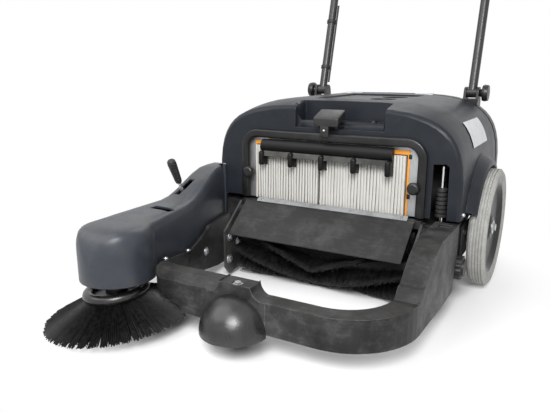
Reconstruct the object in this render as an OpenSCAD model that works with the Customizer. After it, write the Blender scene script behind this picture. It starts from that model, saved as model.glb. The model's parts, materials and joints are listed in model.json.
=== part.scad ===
// Walk-behind power brush sweeper, hopper taken out.
// Millimetres. The origin is on the floor under the middle of the rear axle.
// +Z is up, -Y is the machine's front, +X is the right side seen from the front.

/* [Rear wheels] */
// Outer radius of each rear tyre
wheel_r = 150; // [142:1:156]
// Width of each rear tyre
tyre_w = 44; // [38:1:50]
// Depth of the tyre from tread to rim
tyre_h = 34; // [28:1:40]
// Radius of the rear axle
axle_r = 10; // [8:0.5:12]

/* [Caster] */
// Radius of the caster wheel
caster_r = 30; // [26:1:32]
// Width of the caster wheel
caster_w = 22; // [18:1:24]
// Distance from the swivel axis back to the caster axle
caster_trail = 18; // [14:1:20]
// Radius of the swivel stem
stem_r = 10; // [8:0.5:11]
// Outer radius of the domed cover in front of the caster
dome_r = 71; // [68:1:76]

/* [Main broom] */
// Radius over the bristle tips
broom_r = 86; // [80:1:90]
// Length of the bristled roll
broom_len = 464; // [440:2:470]
// Radius of the roll that the bristles stand on
broom_core_r = 38; // [32:1:44]
// How far the broom axis lies in front of the rear axle
broom_ahead = 229; // [225:1:235]
// Turn of each chevron row from the middle to an end, in degrees
broom_twist = 64; // [40:2:80]
// Number of bristle rows round the roll
broom_rows = 8; // [6:1:8]
// Number of strands along each row
broom_stations = 32; // [28:1:34]

/* [Side broom] */
// Radius of the circle of bristle tips
side_r = 158; // [148:1:162]
// Radius of the hub rim
hub_r = 68; // [62:1:70]
// Lean of the spindle towards the outer front corner, in degrees
side_tilt = 6; // [4:0.5:7]
// How far the spindle lies beyond the end of the main broom
side_beyond = 65; // [60:1:70]
// How far the spindle lies in front of the rear axle
side_ahead = 652; // [646:1:658]
// Number of strands in each ring of bristles
side_strands = 48; // [40:1:52]

/* [Front frame] */
// How far the front of the bumper bar lies in front of the rear axle
bar_ahead = 641; // [634:1:648]
// Depth of the bumper bar
bar_depth = 40; // [36:1:44]
// Height of the underside of the bar
bar_low = 52; // [48:1:56]
// Height of the top of the bar
bar_high = 118; // [112:1:122]
// Thickness of the right arm
arm_w = 53; // [46:1:56]
// Outer radius of the bar's right front corner
corner_r = 150; // [130:2:160]
// Thickness of the left wall
wall_t = 12; // [10:1:14]

/* [Hood] */
// How far each side of the hood stands beyond the end of the main broom
hood_beyond = 96; // [92:1:102]
// Thickness of the moulded walls
shell_t = 6; // [5:0.5:7]
// Height of the hood from its lower edge to its crown
hood_h = 262; // [250:2:274]
// How far the hood's front lies in front of the rear axle
hood_ahead = 222; // [220:1:226]
// How far the hinge line lies behind the rear axle
hinge_behind = 216; // [210:2:230]
// How far the back of the rear housing lies behind the rear axle
housing_behind = 306; // [300:2:320]

/* [Hopper seal and filter] */
// Width of the seal round the hood's mouth
seal_w = 21; // [18:1:26]
// How far the hood's mouth stays inside each end of the main broom
mouth_inside = 1; // [0:0.5:4]
// Number of pleats
pleats = 52; // [40:1:60]

/* [Handle] */
// Radius of the handle tube
tube_r = 12.5; // [11:0.5:13]
// How far each handle leg stands inside the hood's side
handle_inside = 88; // [82:1:96]
// Length of the handle from its pivot to the top bar
handle_len = 412; // [380:4:440]
// Backward lean of the handle, in degrees
handle_lean = 15; // [10:1:20]

/* [Hidden] */
$fn = 48;
eps = 0.01;

// Clearances
run_gap = 0.05;    // radial clearance of a shaft in its bore
part_gap = 0.3;    // between faces that seat on each other or pass closely
floor_gap = 2;     // bristle tips above the floor

// Heights that stack up from the main broom
broom_y = -broom_ahead;
broom_z = broom_r + floor_gap;
deck_low = broom_z + broom_r + 10;
deck_t = 8;
deck_high = deck_low + deck_t;
hood_low = deck_high + 18;
hood_high = hood_low + hood_h;
hood_front = -hood_ahead;
hood_back = hinge_behind - 7;
housing_front = hinge_behind + 7;
hinge_z = hood_high - 4;

// Widths that stack up outwards from the ends of the main broom
plate_t = 6;
plate_x = broom_len / 2 + 12;
shaft_r = 10;
pulley_w = 14;
pulley_x = plate_x + plate_t + 6;
arm_in = pulley_x + pulley_w + 5;
arm_out = arm_in + arm_w;
hood_half_w = broom_len / 2 + hood_beyond;
mouth_half_w = broom_len / 2 - mouth_inside;
seal_in = mouth_half_w - 4;
seal_half_w = seal_in + seal_w;
handle_x = hood_half_w - handle_inside;
lift_x = hood_half_w - 50;

// Rear wheels stand just outside the hood's sides
wheel_gap = 4;
wheel_x = hood_half_w + wheel_gap + tyre_w / 2;
rim_r = wheel_r - tyre_h;

// Plan of the frame
frame_y = -bar_ahead;
bar_back = frame_y + bar_depth;
left_front_x = 25 - broom_len / 2;
left_rear_x = -plate_x - plate_t - 50;
wall_end_y = -220;
deck_half_w = wheel_x - tyre_w / 2 - 16;
function wall_in(y) = left_front_x + (left_rear_x - left_front_x) * (y - frame_y) / (wall_end_y - frame_y);
function wall_out(y) = wall_in(y) - wall_t;

// Side broom frame: tilted about the point on the floor under its hub
side_x = -broom_len / 2 - side_beyond;
side_y = -side_ahead;
low_way = [-0.87, -0.5, 0];
tilt_axis = [-low_way[1], low_way[0], 0];
module at_side_broom() { translate([side_x, side_y, 0]) rotate(a = side_tilt, v = tilt_axis) children(); }
tip_h = (floor_gap + side_r * sin(side_tilt)) / cos(side_tilt);
backing_low = tip_h + 44;
backing_t = 6;
hub_low = backing_low + backing_t;
spindle_r = 8;
cover_r = 83;
cover_low = 108;
nose_h = 118;
swoop_h = 60;
cover_t = 5;
cover_left = side_x - cover_r;
cover_end = hood_front + 26;

// Joint lines of the side broom's lift and of its lever
arm_pivot = [side_x - 3, -420, 128];
lever_x = side_x - 48;
lever_pivot = [lever_x, -339, 175];
lever_lean = 25;

// Flap: hangs from the strip and lies just clear of the main broom
flap_t = 4;
flap_half_w = broom_len / 2 - 2;
flap_len = 115;
bead_r = 3;
strip_low = deck_high + 11.2;
flap_hinge = [-hood_ahead - 17, strip_low - part_gap - bead_r];
flap_gap = 4.5;
reach = [broom_y - flap_hinge[0], broom_z - flap_hinge[1]];
flap_angle = atan2(reach[1], reach[0]) - asin((broom_r + flap_gap + flap_t / 2) / norm(reach));

// Mouth of the hood and what sits in it
mouth_high = hood_low + 162;
seal_high = hood_low + 182;
seal_t = 12;
seal_y = hood_front - part_gap;
filter_low = hood_low - 2;
filter_high = mouth_high - 10;
filter_front = hood_front + shell_t + part_gap;
filter_depth = 54;
filter_left = 17 - mouth_half_w;
filter_right = mouth_half_w - 27;
filter_rim = 5;
pleat_out = 12;
knob_z = hood_low + 69;
knob_x = mouth_half_w - 9;

// Recess in the hood's top front for the latch
recess_left = -92;
recess_right = 142;
recess_low = hood_low + 192;
recess_back = hood_front + 58;
latch_pivot = [hood_front - 4, recess_low + 16];

// Handle
handle_y = hinge_behind + 36;
handle_z = hood_high + 4;
bend_r = 60;

// Drive
motor_y = -88;
motor_z = deck_low - 64;
motor_r = 38;
broom_pulley_r = 44;
motor_pulley_r = 22;
belt_t = 4;

// Adjusting knob behind the right arm
lug_end = -160;
arm_end = -225;
knob_r = 28;
adjust_y = arm_end + 25;
adjust_z = 97;

blue_grey = [0.23, 0.25, 0.29];
frame_black = [0.2, 0.2, 0.19];
deep_black = [0.1, 0.1, 0.1];
steel = [0.72, 0.73, 0.74];
tyre_grey = [0.75, 0.75, 0.72];

// Helpers

// Closed loft through rings that all have the same number of points
module loft(rings) {
  n = len(rings[0]);
  m = len(rings);
  polyhedron(
    [for (r = rings) each r],
    concat(
      [[for (i = [n - 1 : -1 : 0]) i]],
      [[for (i = [0 : n - 1]) (m - 1) * n + i]],
      [for (j = [0 : m - 2], i = [0 : n - 1])
        let (a = j * n + i, b = j * n + (i + 1) % n)
        each [[a, b, a + n], [b, b + n, a + n]]]
    ), convexity = 6);
}

// Cylinder along X from x0 to x1 through the point (y, z)
module rod_x(x0, x1, y, z, r) { translate([x0, y, z]) rotate([0, 90, 0]) cylinder(h = x1 - x0, r = r); }

// Profile drawn in (Y, Z), extruded along X from x0 to x1
module slab_x(x0, x1, points) {
  translate([x0, 0, 0]) rotate([90, 0, 90]) linear_extrude(x1 - x0) polygon(points);
}

// Profile drawn in (X, Z), extruded along Y from y0 to y1
module slab_y(y0, y1) { translate([0, y1, 0]) rotate([90, 0, 0]) linear_extrude(y1 - y0) children(); }

module box(low, high) { translate(low) cube(high - low); }

module both_sides() { children(); mirror([1, 0, 0]) children(); }

function ease(t) = let (u = min(1, max(0, t))) u * u * (3 - 2 * u);

// Points of an arc in the plane
function arc(c, r, a0, a1, n) = [for (i = [0 : n]) let (a = a0 + (a1 - a0) * i / n) c + r * [cos(a), sin(a)]];

// Front frame: bumper bar, right arm and left wall in one moulding

module right_plan() {
  inner_r = corner_r - 45;
  outer_c = [arm_out - corner_r - 4, frame_y + corner_r];
  inner_c = [arm_in - inner_r - 2, bar_back + inner_r];
  polygon(concat(
    [[0, frame_y]], arc(outer_c, corner_r, -90, -2, 14), [[arm_out, arm_end - 130], [arm_out, arm_end]],
    [[arm_in, arm_end], [arm_in, arm_end - 170]], arc(inner_c, inner_r, 0, -90, 10), [[0, bar_back]]
  ));
}

// Side outline of the bar and right arm: low in front, sweeping up to the deck
module right_outline(x0, x1) {
  arm_high = deck_high + 14;
  rise = [for (i = [0 : 10]) let (t = i / 10)
    [frame_y + 168 + t * 110, bar_high + 22 + (arm_high - bar_high - 22) * sin(90 * t)]];
  slab_x(x0, x1, concat(
    [[frame_y - 1, bar_low], [frame_y - 1, bar_high], [frame_y + 138, bar_high], [frame_y + 158, bar_high + 20]],
    rise, [[arm_end, arm_high], [arm_end, 122], [arm_end - 25, bar_low]]
  ));
}

module left_plan() {
  foot_r = 26;
  polygon(concat(
    [[0, bar_back], [0, frame_y]],
    arc([wall_out(frame_y) + foot_r + 6, frame_y + foot_r], foot_r, -90, -170, 6),
    [[wall_out(wall_end_y), wall_end_y], [left_rear_x - wall_t, lug_end]],
    [[left_rear_x, lug_end], [left_rear_x, wall_end_y], [wall_in(bar_back + 30), bar_back + 30],
     [wall_in(bar_back) + 24, bar_back]]
  ));
}

module left_outline(x0, x1) {
  slab_x(x0, x1, [
    [frame_y - 1, bar_low], [frame_y - 1, bar_high], [frame_y + 14, bar_high + 18], [frame_y + 36, bar_high + 22],
    [frame_y + 160, bar_high + 2], [frame_y + 184, bar_high + 2], [frame_y + 270, bar_high + 23],
    [frame_y + 282, bar_high + 32], [lug_end, bar_high + 34], [lug_end, 60], [wall_end_y - 42, 22],
    [wall_end_y - 90, 26], [frame_y + 240, 44], [frame_y + 160, bar_low]
  ]);
}

// Caster housing: block with hollowed flanks on the bar, its top carries the stem
module caster_block() {
  top_half = 36;
  foot_half = 64;
  block_high = bar_high + 24;
  hollow = foot_half - top_half;
  slab_y(block_y, bar_back - 2) polygon(concat(
    [[-foot_half - 4, bar_low + 4], [-foot_half - 4, bar_high - 1]],
    arc([-foot_half, bar_high - 1 + hollow], hollow, -90, 0, 8), [[-top_half, block_high], [top_half, block_high]],
    arc([foot_half, bar_high - 1 + hollow], hollow, 180, 270, 8),
    [[foot_half + 4, bar_high - 1], [foot_half + 4, bar_low + 4]]
  ));
}

block_y = frame_y - 1;
swivel_y = frame_y + 12;
pocket_r = sqrt(pow(caster_trail + caster_r, 2) + pow(caster_w / 2 + 6, 2)) + 4;
pocket_high = 2 * caster_r + 34;
stem_high = pocket_high + 36;
bolt_r = 7;

module front_frame() color(frame_black) difference() {
  union() {
    intersection() { linear_extrude(400) right_plan(); right_outline(0, arm_out + 1); }
    intersection() { linear_extrude(400) left_plan(); left_outline(left_rear_x - wall_t - 40, 0); }
    caster_block();
    // Lugs under the deck
    box([arm_in, arm_end - 1, 66], [deck_half_w, lug_end, deck_low - part_gap]);
    box([left_rear_x - wall_t, wall_end_y + 6, 100], [left_rear_x, lug_end, deck_low - part_gap]);
  }
  // Room for the swinging caster, its stem bore and the bolt on top
  translate([0, swivel_y, -1]) cylinder(h = pocket_high + 1, r = pocket_r);
  translate([0, swivel_y, pocket_high - 1]) cylinder(h = stem_high - pocket_high + 1, r = stem_r + run_gap);
  translate([0, swivel_y, bar_high + 20]) cylinder(h = 20, r = bolt_r + 5);
  // Room under the left corner for the side broom, also when it is lifted
  at_side_broom() translate([0, 0, -30]) cylinder(h = tip_h + 60, r = side_r + 8);
  at_side_broom() translate([0, 0, tip_h + 30 - eps]) cylinder(h = 62, r1 = side_r + 8, r2 = 46);
  // Rectangular recess in the top of the arm
  box([arm_in + 14, arm_end - 44, deck_high + 8], [arm_out - 14, arm_end - 16, deck_high + 30]);
  // Seat of the adjusting knob's spindle
  rod_x(deck_half_w - 20, deck_half_w + 1, adjust_y, adjust_z, 5 + run_gap);
}

module caster_cover() color(frame_black) {
  dome_y = block_y - part_gap;
  dome_z = bar_low - 2;
  lip_z = dome_z - 4;
  intersection() {
    translate([0, dome_y, dome_z]) difference() { sphere(dome_r); sphere(dome_r - 4); }
    box([-dome_r - 1, dome_y - dome_r - 1, lip_z], [dome_r + 1, dome_y, dome_z + dome_r + 1]);
  }
}

module caster_bolt() color(steel) translate([0, swivel_y, bar_high + 20]) {
  cylinder(h = 6, r = bolt_r, $fn = 6);
  cylinder(h = 1.5, r = bolt_r + 4);
}

// Deck: the steel floor that carries the axle, the broom tunnel and the drive

axle_z = wheel_r;
bracket_x = deck_half_w - 24;

module deck() color(frame_black) {
  wide = hood_half_w - 4;
  difference() {
    union() {
      translate([0, 0, deck_low]) linear_extrude(deck_t) polygon([
        [-deck_half_w, hood_front + 7], [deck_half_w, hood_front + 7], [deck_half_w, wheel_r + 16],
        [wide, wheel_r + 26], [wide, housing_behind], [-wide, housing_behind],
        [-wide, wheel_r + 26], [-deck_half_w, wheel_r + 16]]);
      both_sides() slab_x(bracket_x, bracket_x + 8, concat(
        [[-50, deck_low + eps]], arc([0, axle_z], axle_r + 14, 200, 340, 10), [[50, deck_low + eps]]));
    }
    rod_x(-wheel_x, wheel_x, 0, axle_z, axle_r + run_gap);
  }
}

module cross_bar() color(frame_black)
  box([-plate_x + part_gap, hood_front - 12, deck_low], [plate_x - part_gap, hood_front + 7 - part_gap, strip_low]);

// Side plates of the broom tunnel; the right one runs back to carry the motor
module broom_plate(back_y, bores) {
  front_y = broom_y - broom_r - 8;
  foot_z = 8;
  difference() {
    slab_x(plate_x, plate_x + plate_t, [
      [back_y, deck_low - part_gap], [hood_front + 6, deck_low - part_gap], [hood_front + 6, deck_high + 6],
      [flap_hinge[0], deck_high + 6],
      [front_y, deck_low - 54], [front_y, foot_z + 22], [front_y + 18, foot_z], [back_y, foot_z + 30]]);
    for (b = bores) rod_x(plate_x - 1, plate_x + plate_t + 1, b[0], b[1], b[2] + run_gap);
  }
}

module broom_plate_left() color(steel) mirror([1, 0, 0])
  broom_plate(broom_y + broom_r + 6, [[broom_y, broom_z, shaft_r]]);

module broom_plate_right() color(steel)
  broom_plate(-40, [[broom_y, broom_z, shaft_r], [motor_y, motor_z, 8]]);

strip_half_w = broom_len / 2 - 31;
strip_t = 2.5;
module flap_strip() color(steel)
  box([-strip_half_w, hood_front - 21, strip_low], [strip_half_w, hood_front, strip_low + strip_t]);

// Rubber sheet with a bead along its upper edge, on which it swings
module flap() color(deep_black) translate([0, flap_hinge[0], flap_hinge[1]]) {
  rod_x(-flap_half_w - 1, flap_half_w + 1, 0, 0, bead_r);
  rotate([flap_angle, 0, 0]) slab_x(-flap_half_w, flap_half_w,
    [[0, -flap_t / 2], [flap_len, -flap_t / 2], [flap_len, flap_t / 2], [0, flap_t / 2]]);
}

// Main broom

module ring_x(x0, x1, y, z, r_out, r_in) difference() {
  rod_x(x0, x1, y, z, r_out);
  rod_x(x0 - 1, x1 + 1, y, z, r_in);
}

core_bore = broom_core_r - 8;
strand_w = 5;
strand_deg = strand_w / broom_core_r * 180 / PI;
core_r = core_bore * cos(180 / broom_rows - strand_deg / 2) - part_gap;

// The bristled sleeve is one closed skin. Lines of points run along the roll and round it; every
// second cell of every second line is drawn out into a four-sided strand, the others stay on the roll.
module main_bristles() {
  tip = 2.4;
  pitch = broom_len / broom_stations;
  lines = concat([-broom_len / 2],
    [for (s = [0 : broom_stations - 1], e = [-1, 1]) -broom_len / 2 + (s + 0.5) * pitch + e * strand_w / 2],
    [broom_len / 2]);
  rounds = 2 * broom_rows;
  m = len(lines);
  tip_deg = tip / 2 / broom_r * 180 / PI;
  function mid_deg(a, x) = floor(a / 2) * 360 / broom_rows + broom_twist * abs(x) / (broom_len / 2);
  function skin(x, deg, r) = [x, r * cos(deg), r * sin(deg)];
  function sign_of(a) = a % 2 == 0 ? -1 : 1;
  skin_pts = [for (x = lines, a = [0 : rounds - 1])
    skin(x, mid_deg(a, x) + sign_of(a) * strand_deg / 2, broom_core_r)];
  bore_pts = [for (x = [lines[0], lines[m - 1]], a = [0 : rounds - 1])
    skin(x, mid_deg(a, x) + sign_of(a) * strand_deg / 2, core_bore)];
  tip_pts = [for (s = [0 : broom_stations - 1], r = [0 : broom_rows - 1], k = [0 : 3])
    let (x = (lines[1 + 2 * s] + lines[2 + 2 * s]) / 2, dx = (k == 0 || k == 1) ? -tip / 2 : tip / 2,
      dd = (k == 0 || k == 3) ? -tip_deg : tip_deg)
    skin(x + dx, mid_deg(2 * r, x) + dd, broom_r)];
  bore0 = m * rounds;
  tip0 = bore0 + 2 * rounds;
  function quad(a, b, c, d) = [[a, c, b], [a, d, c]];
  faces = concat(
    [for (j = [0 : m - 2], a = [0 : rounds - 1])
      let (p = j * rounds + a, q = j * rounds + (a + 1) % rounds, u = p + rounds, v = q + rounds,
        t = tip0 + 4 * ((j - 1) / 2 * broom_rows + a / 2))
      each (j % 2 == 1 && a % 2 == 0)
        ? concat(quad(p, q, t + 1, t), quad(q, v, t + 2, t + 1), quad(v, u, t + 3, t + 2),
            quad(u, p, t, t + 3), quad(t, t + 1, t + 2, t + 3))
        : quad(p, q, v, u)],
    [for (a = [0 : rounds - 1]) let (b = (a + 1) % rounds, e = (m - 1) * rounds)
      each concat(quad(bore0 + a, bore0 + b, b, a), quad(e + a, e + b, bore0 + rounds + b, bore0 + rounds + a),
        quad(bore0 + rounds + a, bore0 + rounds + b, bore0 + b, bore0 + a))]);
  color(deep_black) translate([0, broom_y, broom_z])
    polyhedron(concat(skin_pts, bore_pts, tip_pts), faces, convexity = 10);
}

module broom_core() color(deep_black) {
  ring_x(-broom_len / 2, broom_len / 2, broom_y, broom_z, core_r, core_bore - 8);
  for (s = [-1, 1])
    rod_x(s * (broom_len / 2 - 10) - 8, s * (broom_len / 2 - 10) + 8, broom_y, broom_z, core_bore - 7);
  rod_x(-plate_x - plate_t - 4, pulley_x + pulley_w + 2, broom_y, broom_z, shaft_r);
}

module pulley(y, z, r, bore) difference() {
  union() {
    rod_x(pulley_x, pulley_x + pulley_w, y, z, r - 4);
    for (x = [pulley_x, pulley_x + pulley_w - 2]) rod_x(x, x + 2, y, z, r + 2);
  }
  rod_x(pulley_x - 1, pulley_x + pulley_w + 1, y, z, bore);
}

module broom_pulley() color(steel) pulley(broom_y, broom_z, broom_pulley_r, shaft_r + run_gap);

module motor_pulley() color(steel) {
  pulley(motor_y, motor_z, motor_pulley_r, 8);
  rod_x(plate_x - 10, pulley_x + pulley_w, motor_y, motor_z, 8);
}

module drive_belt() color(deep_black) translate([pulley_x + 2 + part_gap, 0, 0]) rotate([90, 0, 90])
  linear_extrude(pulley_w - 4 - 2 * part_gap) difference() {
    hull() {
      translate([broom_y, broom_z]) circle(broom_pulley_r - 4 + part_gap + belt_t);
      translate([motor_y, motor_z]) circle(motor_pulley_r - 4 + part_gap + belt_t);
    }
    hull() {
      translate([broom_y, broom_z]) circle(broom_pulley_r - 4 + part_gap);
      translate([motor_y, motor_z]) circle(motor_pulley_r - 4 + part_gap);
    }
  }

module drive_motor() color(steel) difference() {
  union() {
    rod_x(plate_x - 150, plate_x - part_gap, motor_y, motor_z, motor_r);
    box([plate_x - 120, motor_y - 20, motor_z], [plate_x - 40, motor_y + 20, deck_low - part_gap]);
  }
  rod_x(plate_x - 12, plate_x, motor_y, motor_z, 8 + run_gap);
}

// Rear wheels

module tyre() color(tyre_grey) rotate([0, 90, 0]) rotate_extrude() difference() {
  hull() {
    translate([rim_r, -tyre_w / 2 + 4]) square([4, tyre_w - 8]);
    translate([wheel_r - 16, -tyre_w / 2]) square([8, tyre_w]);
    translate([wheel_r - 4, -tyre_w / 2 + 6]) square([4, tyre_w - 12]);
  }
  for (i = [-2 : 2]) translate([wheel_r - 3, i * tyre_w / 6.6 - 1]) square([4, 2]);
}

module rim() color(deep_black) rotate([0, 90, 0]) rotate_extrude() polygon([
  [axle_r + run_gap, -20], [28, -20], [34, -6], [rim_r - 22, -2],
  [rim_r - 10, -tyre_w / 2 + 4], [rim_r, -tyre_w / 2 + 4],
  [rim_r, tyre_w / 2 - 4], [rim_r - 5, tyre_w / 2 - 4], [rim_r - 14, 8], [38, 4], [28, 12], [axle_r + run_gap, 12]]);

module left_tyre() translate([-wheel_x, 0, axle_z]) mirror([1, 0, 0]) tyre();
module left_rim() translate([-wheel_x, 0, axle_z]) mirror([1, 0, 0]) rim();
module right_tyre() translate([wheel_x, 0, axle_z]) tyre();
module right_rim() translate([wheel_x, 0, axle_z]) rim();

module rear_axle() color(steel) rod_x(-wheel_x - 12, wheel_x + 12, 0, axle_z, axle_r);

module hub_bolts() color(steel) both_sides() {
  rod_x(wheel_x + 12 + part_gap, wheel_x + 15, 0, axle_z, axle_r + 8);
  translate([wheel_x + 12, 0, axle_z]) rotate([0, 90, 0]) cylinder(h = 9, r = axle_r, $fn = 6);
}

// Caster

caster_y = swivel_y + caster_trail;
module caster_fork() color(steel) {
  cheek_x = caster_w / 2 + 1;
  difference() {
    union() {
      translate([0, swivel_y, 2 * caster_r + 20]) cylinder(h = pocket_high - 2 * caster_r - 20 - part_gap, r = 24);
      translate([0, swivel_y, 2 * caster_r + 20]) cylinder(h = stem_high - 2 * caster_r - 22, r = stem_r);
      both_sides() slab_x(cheek_x, cheek_x + 4, [
        [swivel_y - 20, 2 * caster_r + 21], [caster_y - 8, caster_r - 8], [caster_y + 8, caster_r - 8],
        [swivel_y + 22, 2 * caster_r + 21]]);
    }
  }
  rod_x(-cheek_x - 1, cheek_x + 1, caster_y, caster_r, 5);
}

module caster_wheel() color(deep_black) translate([0, caster_y, caster_r]) rotate([0, 90, 0]) rotate_extrude()
  difference() {
    hull() {
      translate([5 + run_gap, -caster_w / 2]) square([caster_r - 11, caster_w]);
      translate([5 + run_gap, -caster_w / 2 + 5]) square([caster_r - 5 - run_gap, caster_w - 10]);
    }
    for (s = [-1, 1]) translate([12, s * (caster_w / 2 + 1) - 3]) square([8, 6]);
  }

// Side broom

module side_bristles() {
  strand = 3.4;
  tip = 1.6;
  rings = [46, 54, 62];
  tip_rings = [side_r - 34, side_r - 17, side_r - 1];
  r_lines = concat([rings[0] - 5], [for (r = rings, e = [-1, 1]) r + e * strand / 2], [rings[2] + 4]);
  rounds = 2 * side_strands;
  m = len(r_lines);
  step = 360 / side_strands;
  function deg(a, w, r) = floor(a / 2) * step + (a % 2 == 0 ? -1 : 1) * w / 2 / r * 180 / PI;
  function at(r, d, z) = [r * cos(d), r * sin(d), z];
  low_pts = [for (r = r_lines, a = [0 : rounds - 1]) at(r, deg(a, strand, rings[1]), backing_low)];
  top_pts = [for (r = [r_lines[0], r_lines[m - 1]], a = [0 : rounds - 1])
    at(r, deg(a, strand, rings[1]), hub_low)];
  tip_pts = [for (s = [0 : 2], n = [0 : side_strands - 1], k = [0 : 3])
    at(tip_rings[s] + ((k == 0 || k == 1) ? -tip / 2 : tip / 2),
      deg(2 * n + ((k == 0 || k == 3) ? 0 : 1), tip, tip_rings[s]), tip_h)];
  top0 = m * rounds;
  tip0 = top0 + 2 * rounds;
  function quad(a, b, c, d) = [[a, c, b], [a, d, c]];
  faces = concat(
    [for (j = [0 : m - 2], a = [0 : rounds - 1])
      let (p = j * rounds + a, q = j * rounds + (a + 1) % rounds, u = p + rounds, v = q + rounds,
        t = tip0 + 4 * ((j - 1) / 2 * side_strands + a / 2))
      each (j % 2 == 1 && a % 2 == 0)
        ? concat(quad(p, q, t + 1, t), quad(q, v, t + 2, t + 1), quad(v, u, t + 3, t + 2),
            quad(u, p, t, t + 3), quad(t, t + 1, t + 2, t + 3))
        : quad(p, q, v, u)],
    [for (a = [0 : rounds - 1]) let (b = (a + 1) % rounds, e = (m - 1) * rounds)
      each concat(quad(top0 + a, top0 + b, b, a), quad(e + a, e + b, top0 + rounds + b, top0 + rounds + a),
        quad(top0 + rounds + a, top0 + rounds + b, top0 + b, top0 + a))]);
  color(deep_black) at_side_broom() polyhedron(concat(low_pts, top_pts, tip_pts), faces, convexity = 10);
}

// Hub: glossy dished rim, driven by a spindle that stands in the motor's plate
motor_plate_low = hub_low + 50;
motor_plate_t = 20;
module side_hub() color(deep_black) at_side_broom() {
  rotate_extrude() polygon(concat(
    [[spindle_r - 2, hub_low], [hub_r - 5, hub_low]],
    arc([hub_r - 7, hub_low + 7], 7, -60, 150, 9), [[hub_r - 18, hub_low + 4], [24, hub_low + 4],
    [20, hub_low + 24], [spindle_r - 2, hub_low + 24]]));
  translate([0, 0, hub_low + 1]) cylinder(h = motor_plate_low + 15 - hub_low, r = spindle_r);
}

module side_arm() color(frame_black) difference() {
  union() {
    at_side_broom() translate([0, 0, motor_plate_low]) cylinder(h = motor_plate_t, r = 50);
    box([side_x - 18, side_y + 30, arm_pivot[2] - 9], [side_x + 12, arm_pivot[1], arm_pivot[2] + 9]);
    rod_x(arm_pivot[0] - 16, arm_pivot[0] + 16, arm_pivot[1], arm_pivot[2], 16);
  }
  at_side_broom() translate([0, 0, motor_plate_low - 1]) cylinder(h = 18, r = spindle_r + run_gap);
  rod_x(arm_pivot[0] - 17, arm_pivot[0] + 17, arm_pivot[1], arm_pivot[2], 8 + run_gap);
}

module side_motor() color(deep_black) at_side_broom() translate([0, 0, motor_plate_low + motor_plate_t]) {
  cylinder(h = 40, r = 40);
  translate([0, 0, 40]) cylinder(h = 6, r = 30);
}

module arm_bracket() color(frame_black) {
  y0 = arm_pivot[1] - 15.5;
  y1 = arm_pivot[1] + 15.5;
  foot = arm_pivot[2] - 21;
  ear_in = arm_pivot[0] + 16 + part_gap;
  ear_out = arm_pivot[0] - 16 - part_gap;
  translate([0, 0, foot - 6]) linear_extrude(6) polygon([
    [ear_out - 8, y0], [wall_out(y0) - part_gap, y0], [wall_out(y1) - part_gap, y1], [ear_out - 8, y1]]);
  for (x = [ear_in, ear_out - 6]) slab_x(x, x + 6, concat(
    [[y0, foot - eps]], arc([arm_pivot[1], arm_pivot[2]], 15, 180, 0, 10), [[y1, foot - eps]]));
  rod_x(ear_out - 8, ear_in + 6, arm_pivot[1], arm_pivot[2], 8);
}

lever_boss = 10;
module lever_bracket() color(frame_black) {
  y0 = lever_pivot[1] - 16;
  y1 = lever_pivot[1] + 16;
  foot = lever_pivot[2] - 26;
  translate([0, 0, foot]) linear_extrude(6) polygon([
    [lever_x - lever_boss - 7, y0], [cover_right(y0) - cover_t - part_gap, y0],
    [cover_right(y1) - cover_t - part_gap, y1], [lever_x - lever_boss - 7, y1]]);
  for (x = [lever_x - lever_boss - part_gap - 6, lever_x + lever_boss + part_gap]) slab_x(x, x + 6,
    concat([[y0, foot + 5]], arc([lever_pivot[1], lever_pivot[2]], 11, 180, 0, 10), [[y1, foot + 5]]));
  rod_x(lever_x - lever_boss - 6, lever_x + lever_boss + 6, lever_pivot[1], lever_pivot[2], 5);
}

module at_lever() { translate(lever_pivot) rotate([lever_lean, 0, 0]) children(); }

module side_lever() color(steel) at_lever() difference() {
  union() {
    rod_x(-lever_boss, lever_boss, 0, 0, 10);
    cylinder(h = 104, r = 5);
  }
  rod_x(-lever_boss - 1, lever_boss + 1, 0, 0, 5 + run_gap);
}

module lever_grip() color(deep_black) at_lever() translate([0, 0, 96]) difference() {
  rotate_extrude() polygon([[0, 0], [7.5, 0], [9, 6], [11.5, 56], [10.5, 64], [8, 67], [0, 68]]);
  translate([0, 0, -1]) cylinder(h = 9, r = 5 + run_gap);
}

// Cover of the side broom: round nose in front, sweeping up to the hood
function cover_top(y) = cover_low + nose_h + swoop_h * ease((y + 430) / 190);
function cover_right(y) = wall_out(max(y, side_y)) - 0.5;
// The drum-shaped nose keeps its circle on the inner side up to a crease, where the side wall leaves it
crease_y = side_y + 53;
function cover_wall(y) = cover_right(y) - 5 * (1 - ease((y - side_y) / 300));
function cover_ring(y, inset, foot) =
  let (r = cover_r - inset, d = min(r, abs(y - side_y)), k = sqrt(r * r - d * d), u = y < side_y ? d / r : 0,
    left = y < side_y ? side_x - k : cover_left + inset,
    wall = cover_wall(y) - inset,
    right = y < side_y ? side_x + k : y < crease_y ? max(side_x + k, wall) : wall,
    mid = (left + right) / 2, half = (right - left) / 2,
    h = (cover_top(y) - inset - cover_low) * pow(1 - pow(u, 4), 1 / 4))
  concat([[right, y, foot]],
    [for (t = [14 : 8 : 166])
      [mid + half * sign(cos(t)) * pow(abs(cos(t)), 0.32), y, cover_low + h * pow(sin(t), 0.32)]],
    [[left, y, foot]]);
function cover_stations(inset) = concat(
  [for (d = [6 : 12 : 78]) side_y - (cover_r - inset) * cos(d)],
  [for (i = [0 : 3]) side_y + (crease_y - side_y) * i / 4],
  [for (i = [0 : 12]) crease_y + (cover_end - inset - crease_y) * i / 12]);

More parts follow.
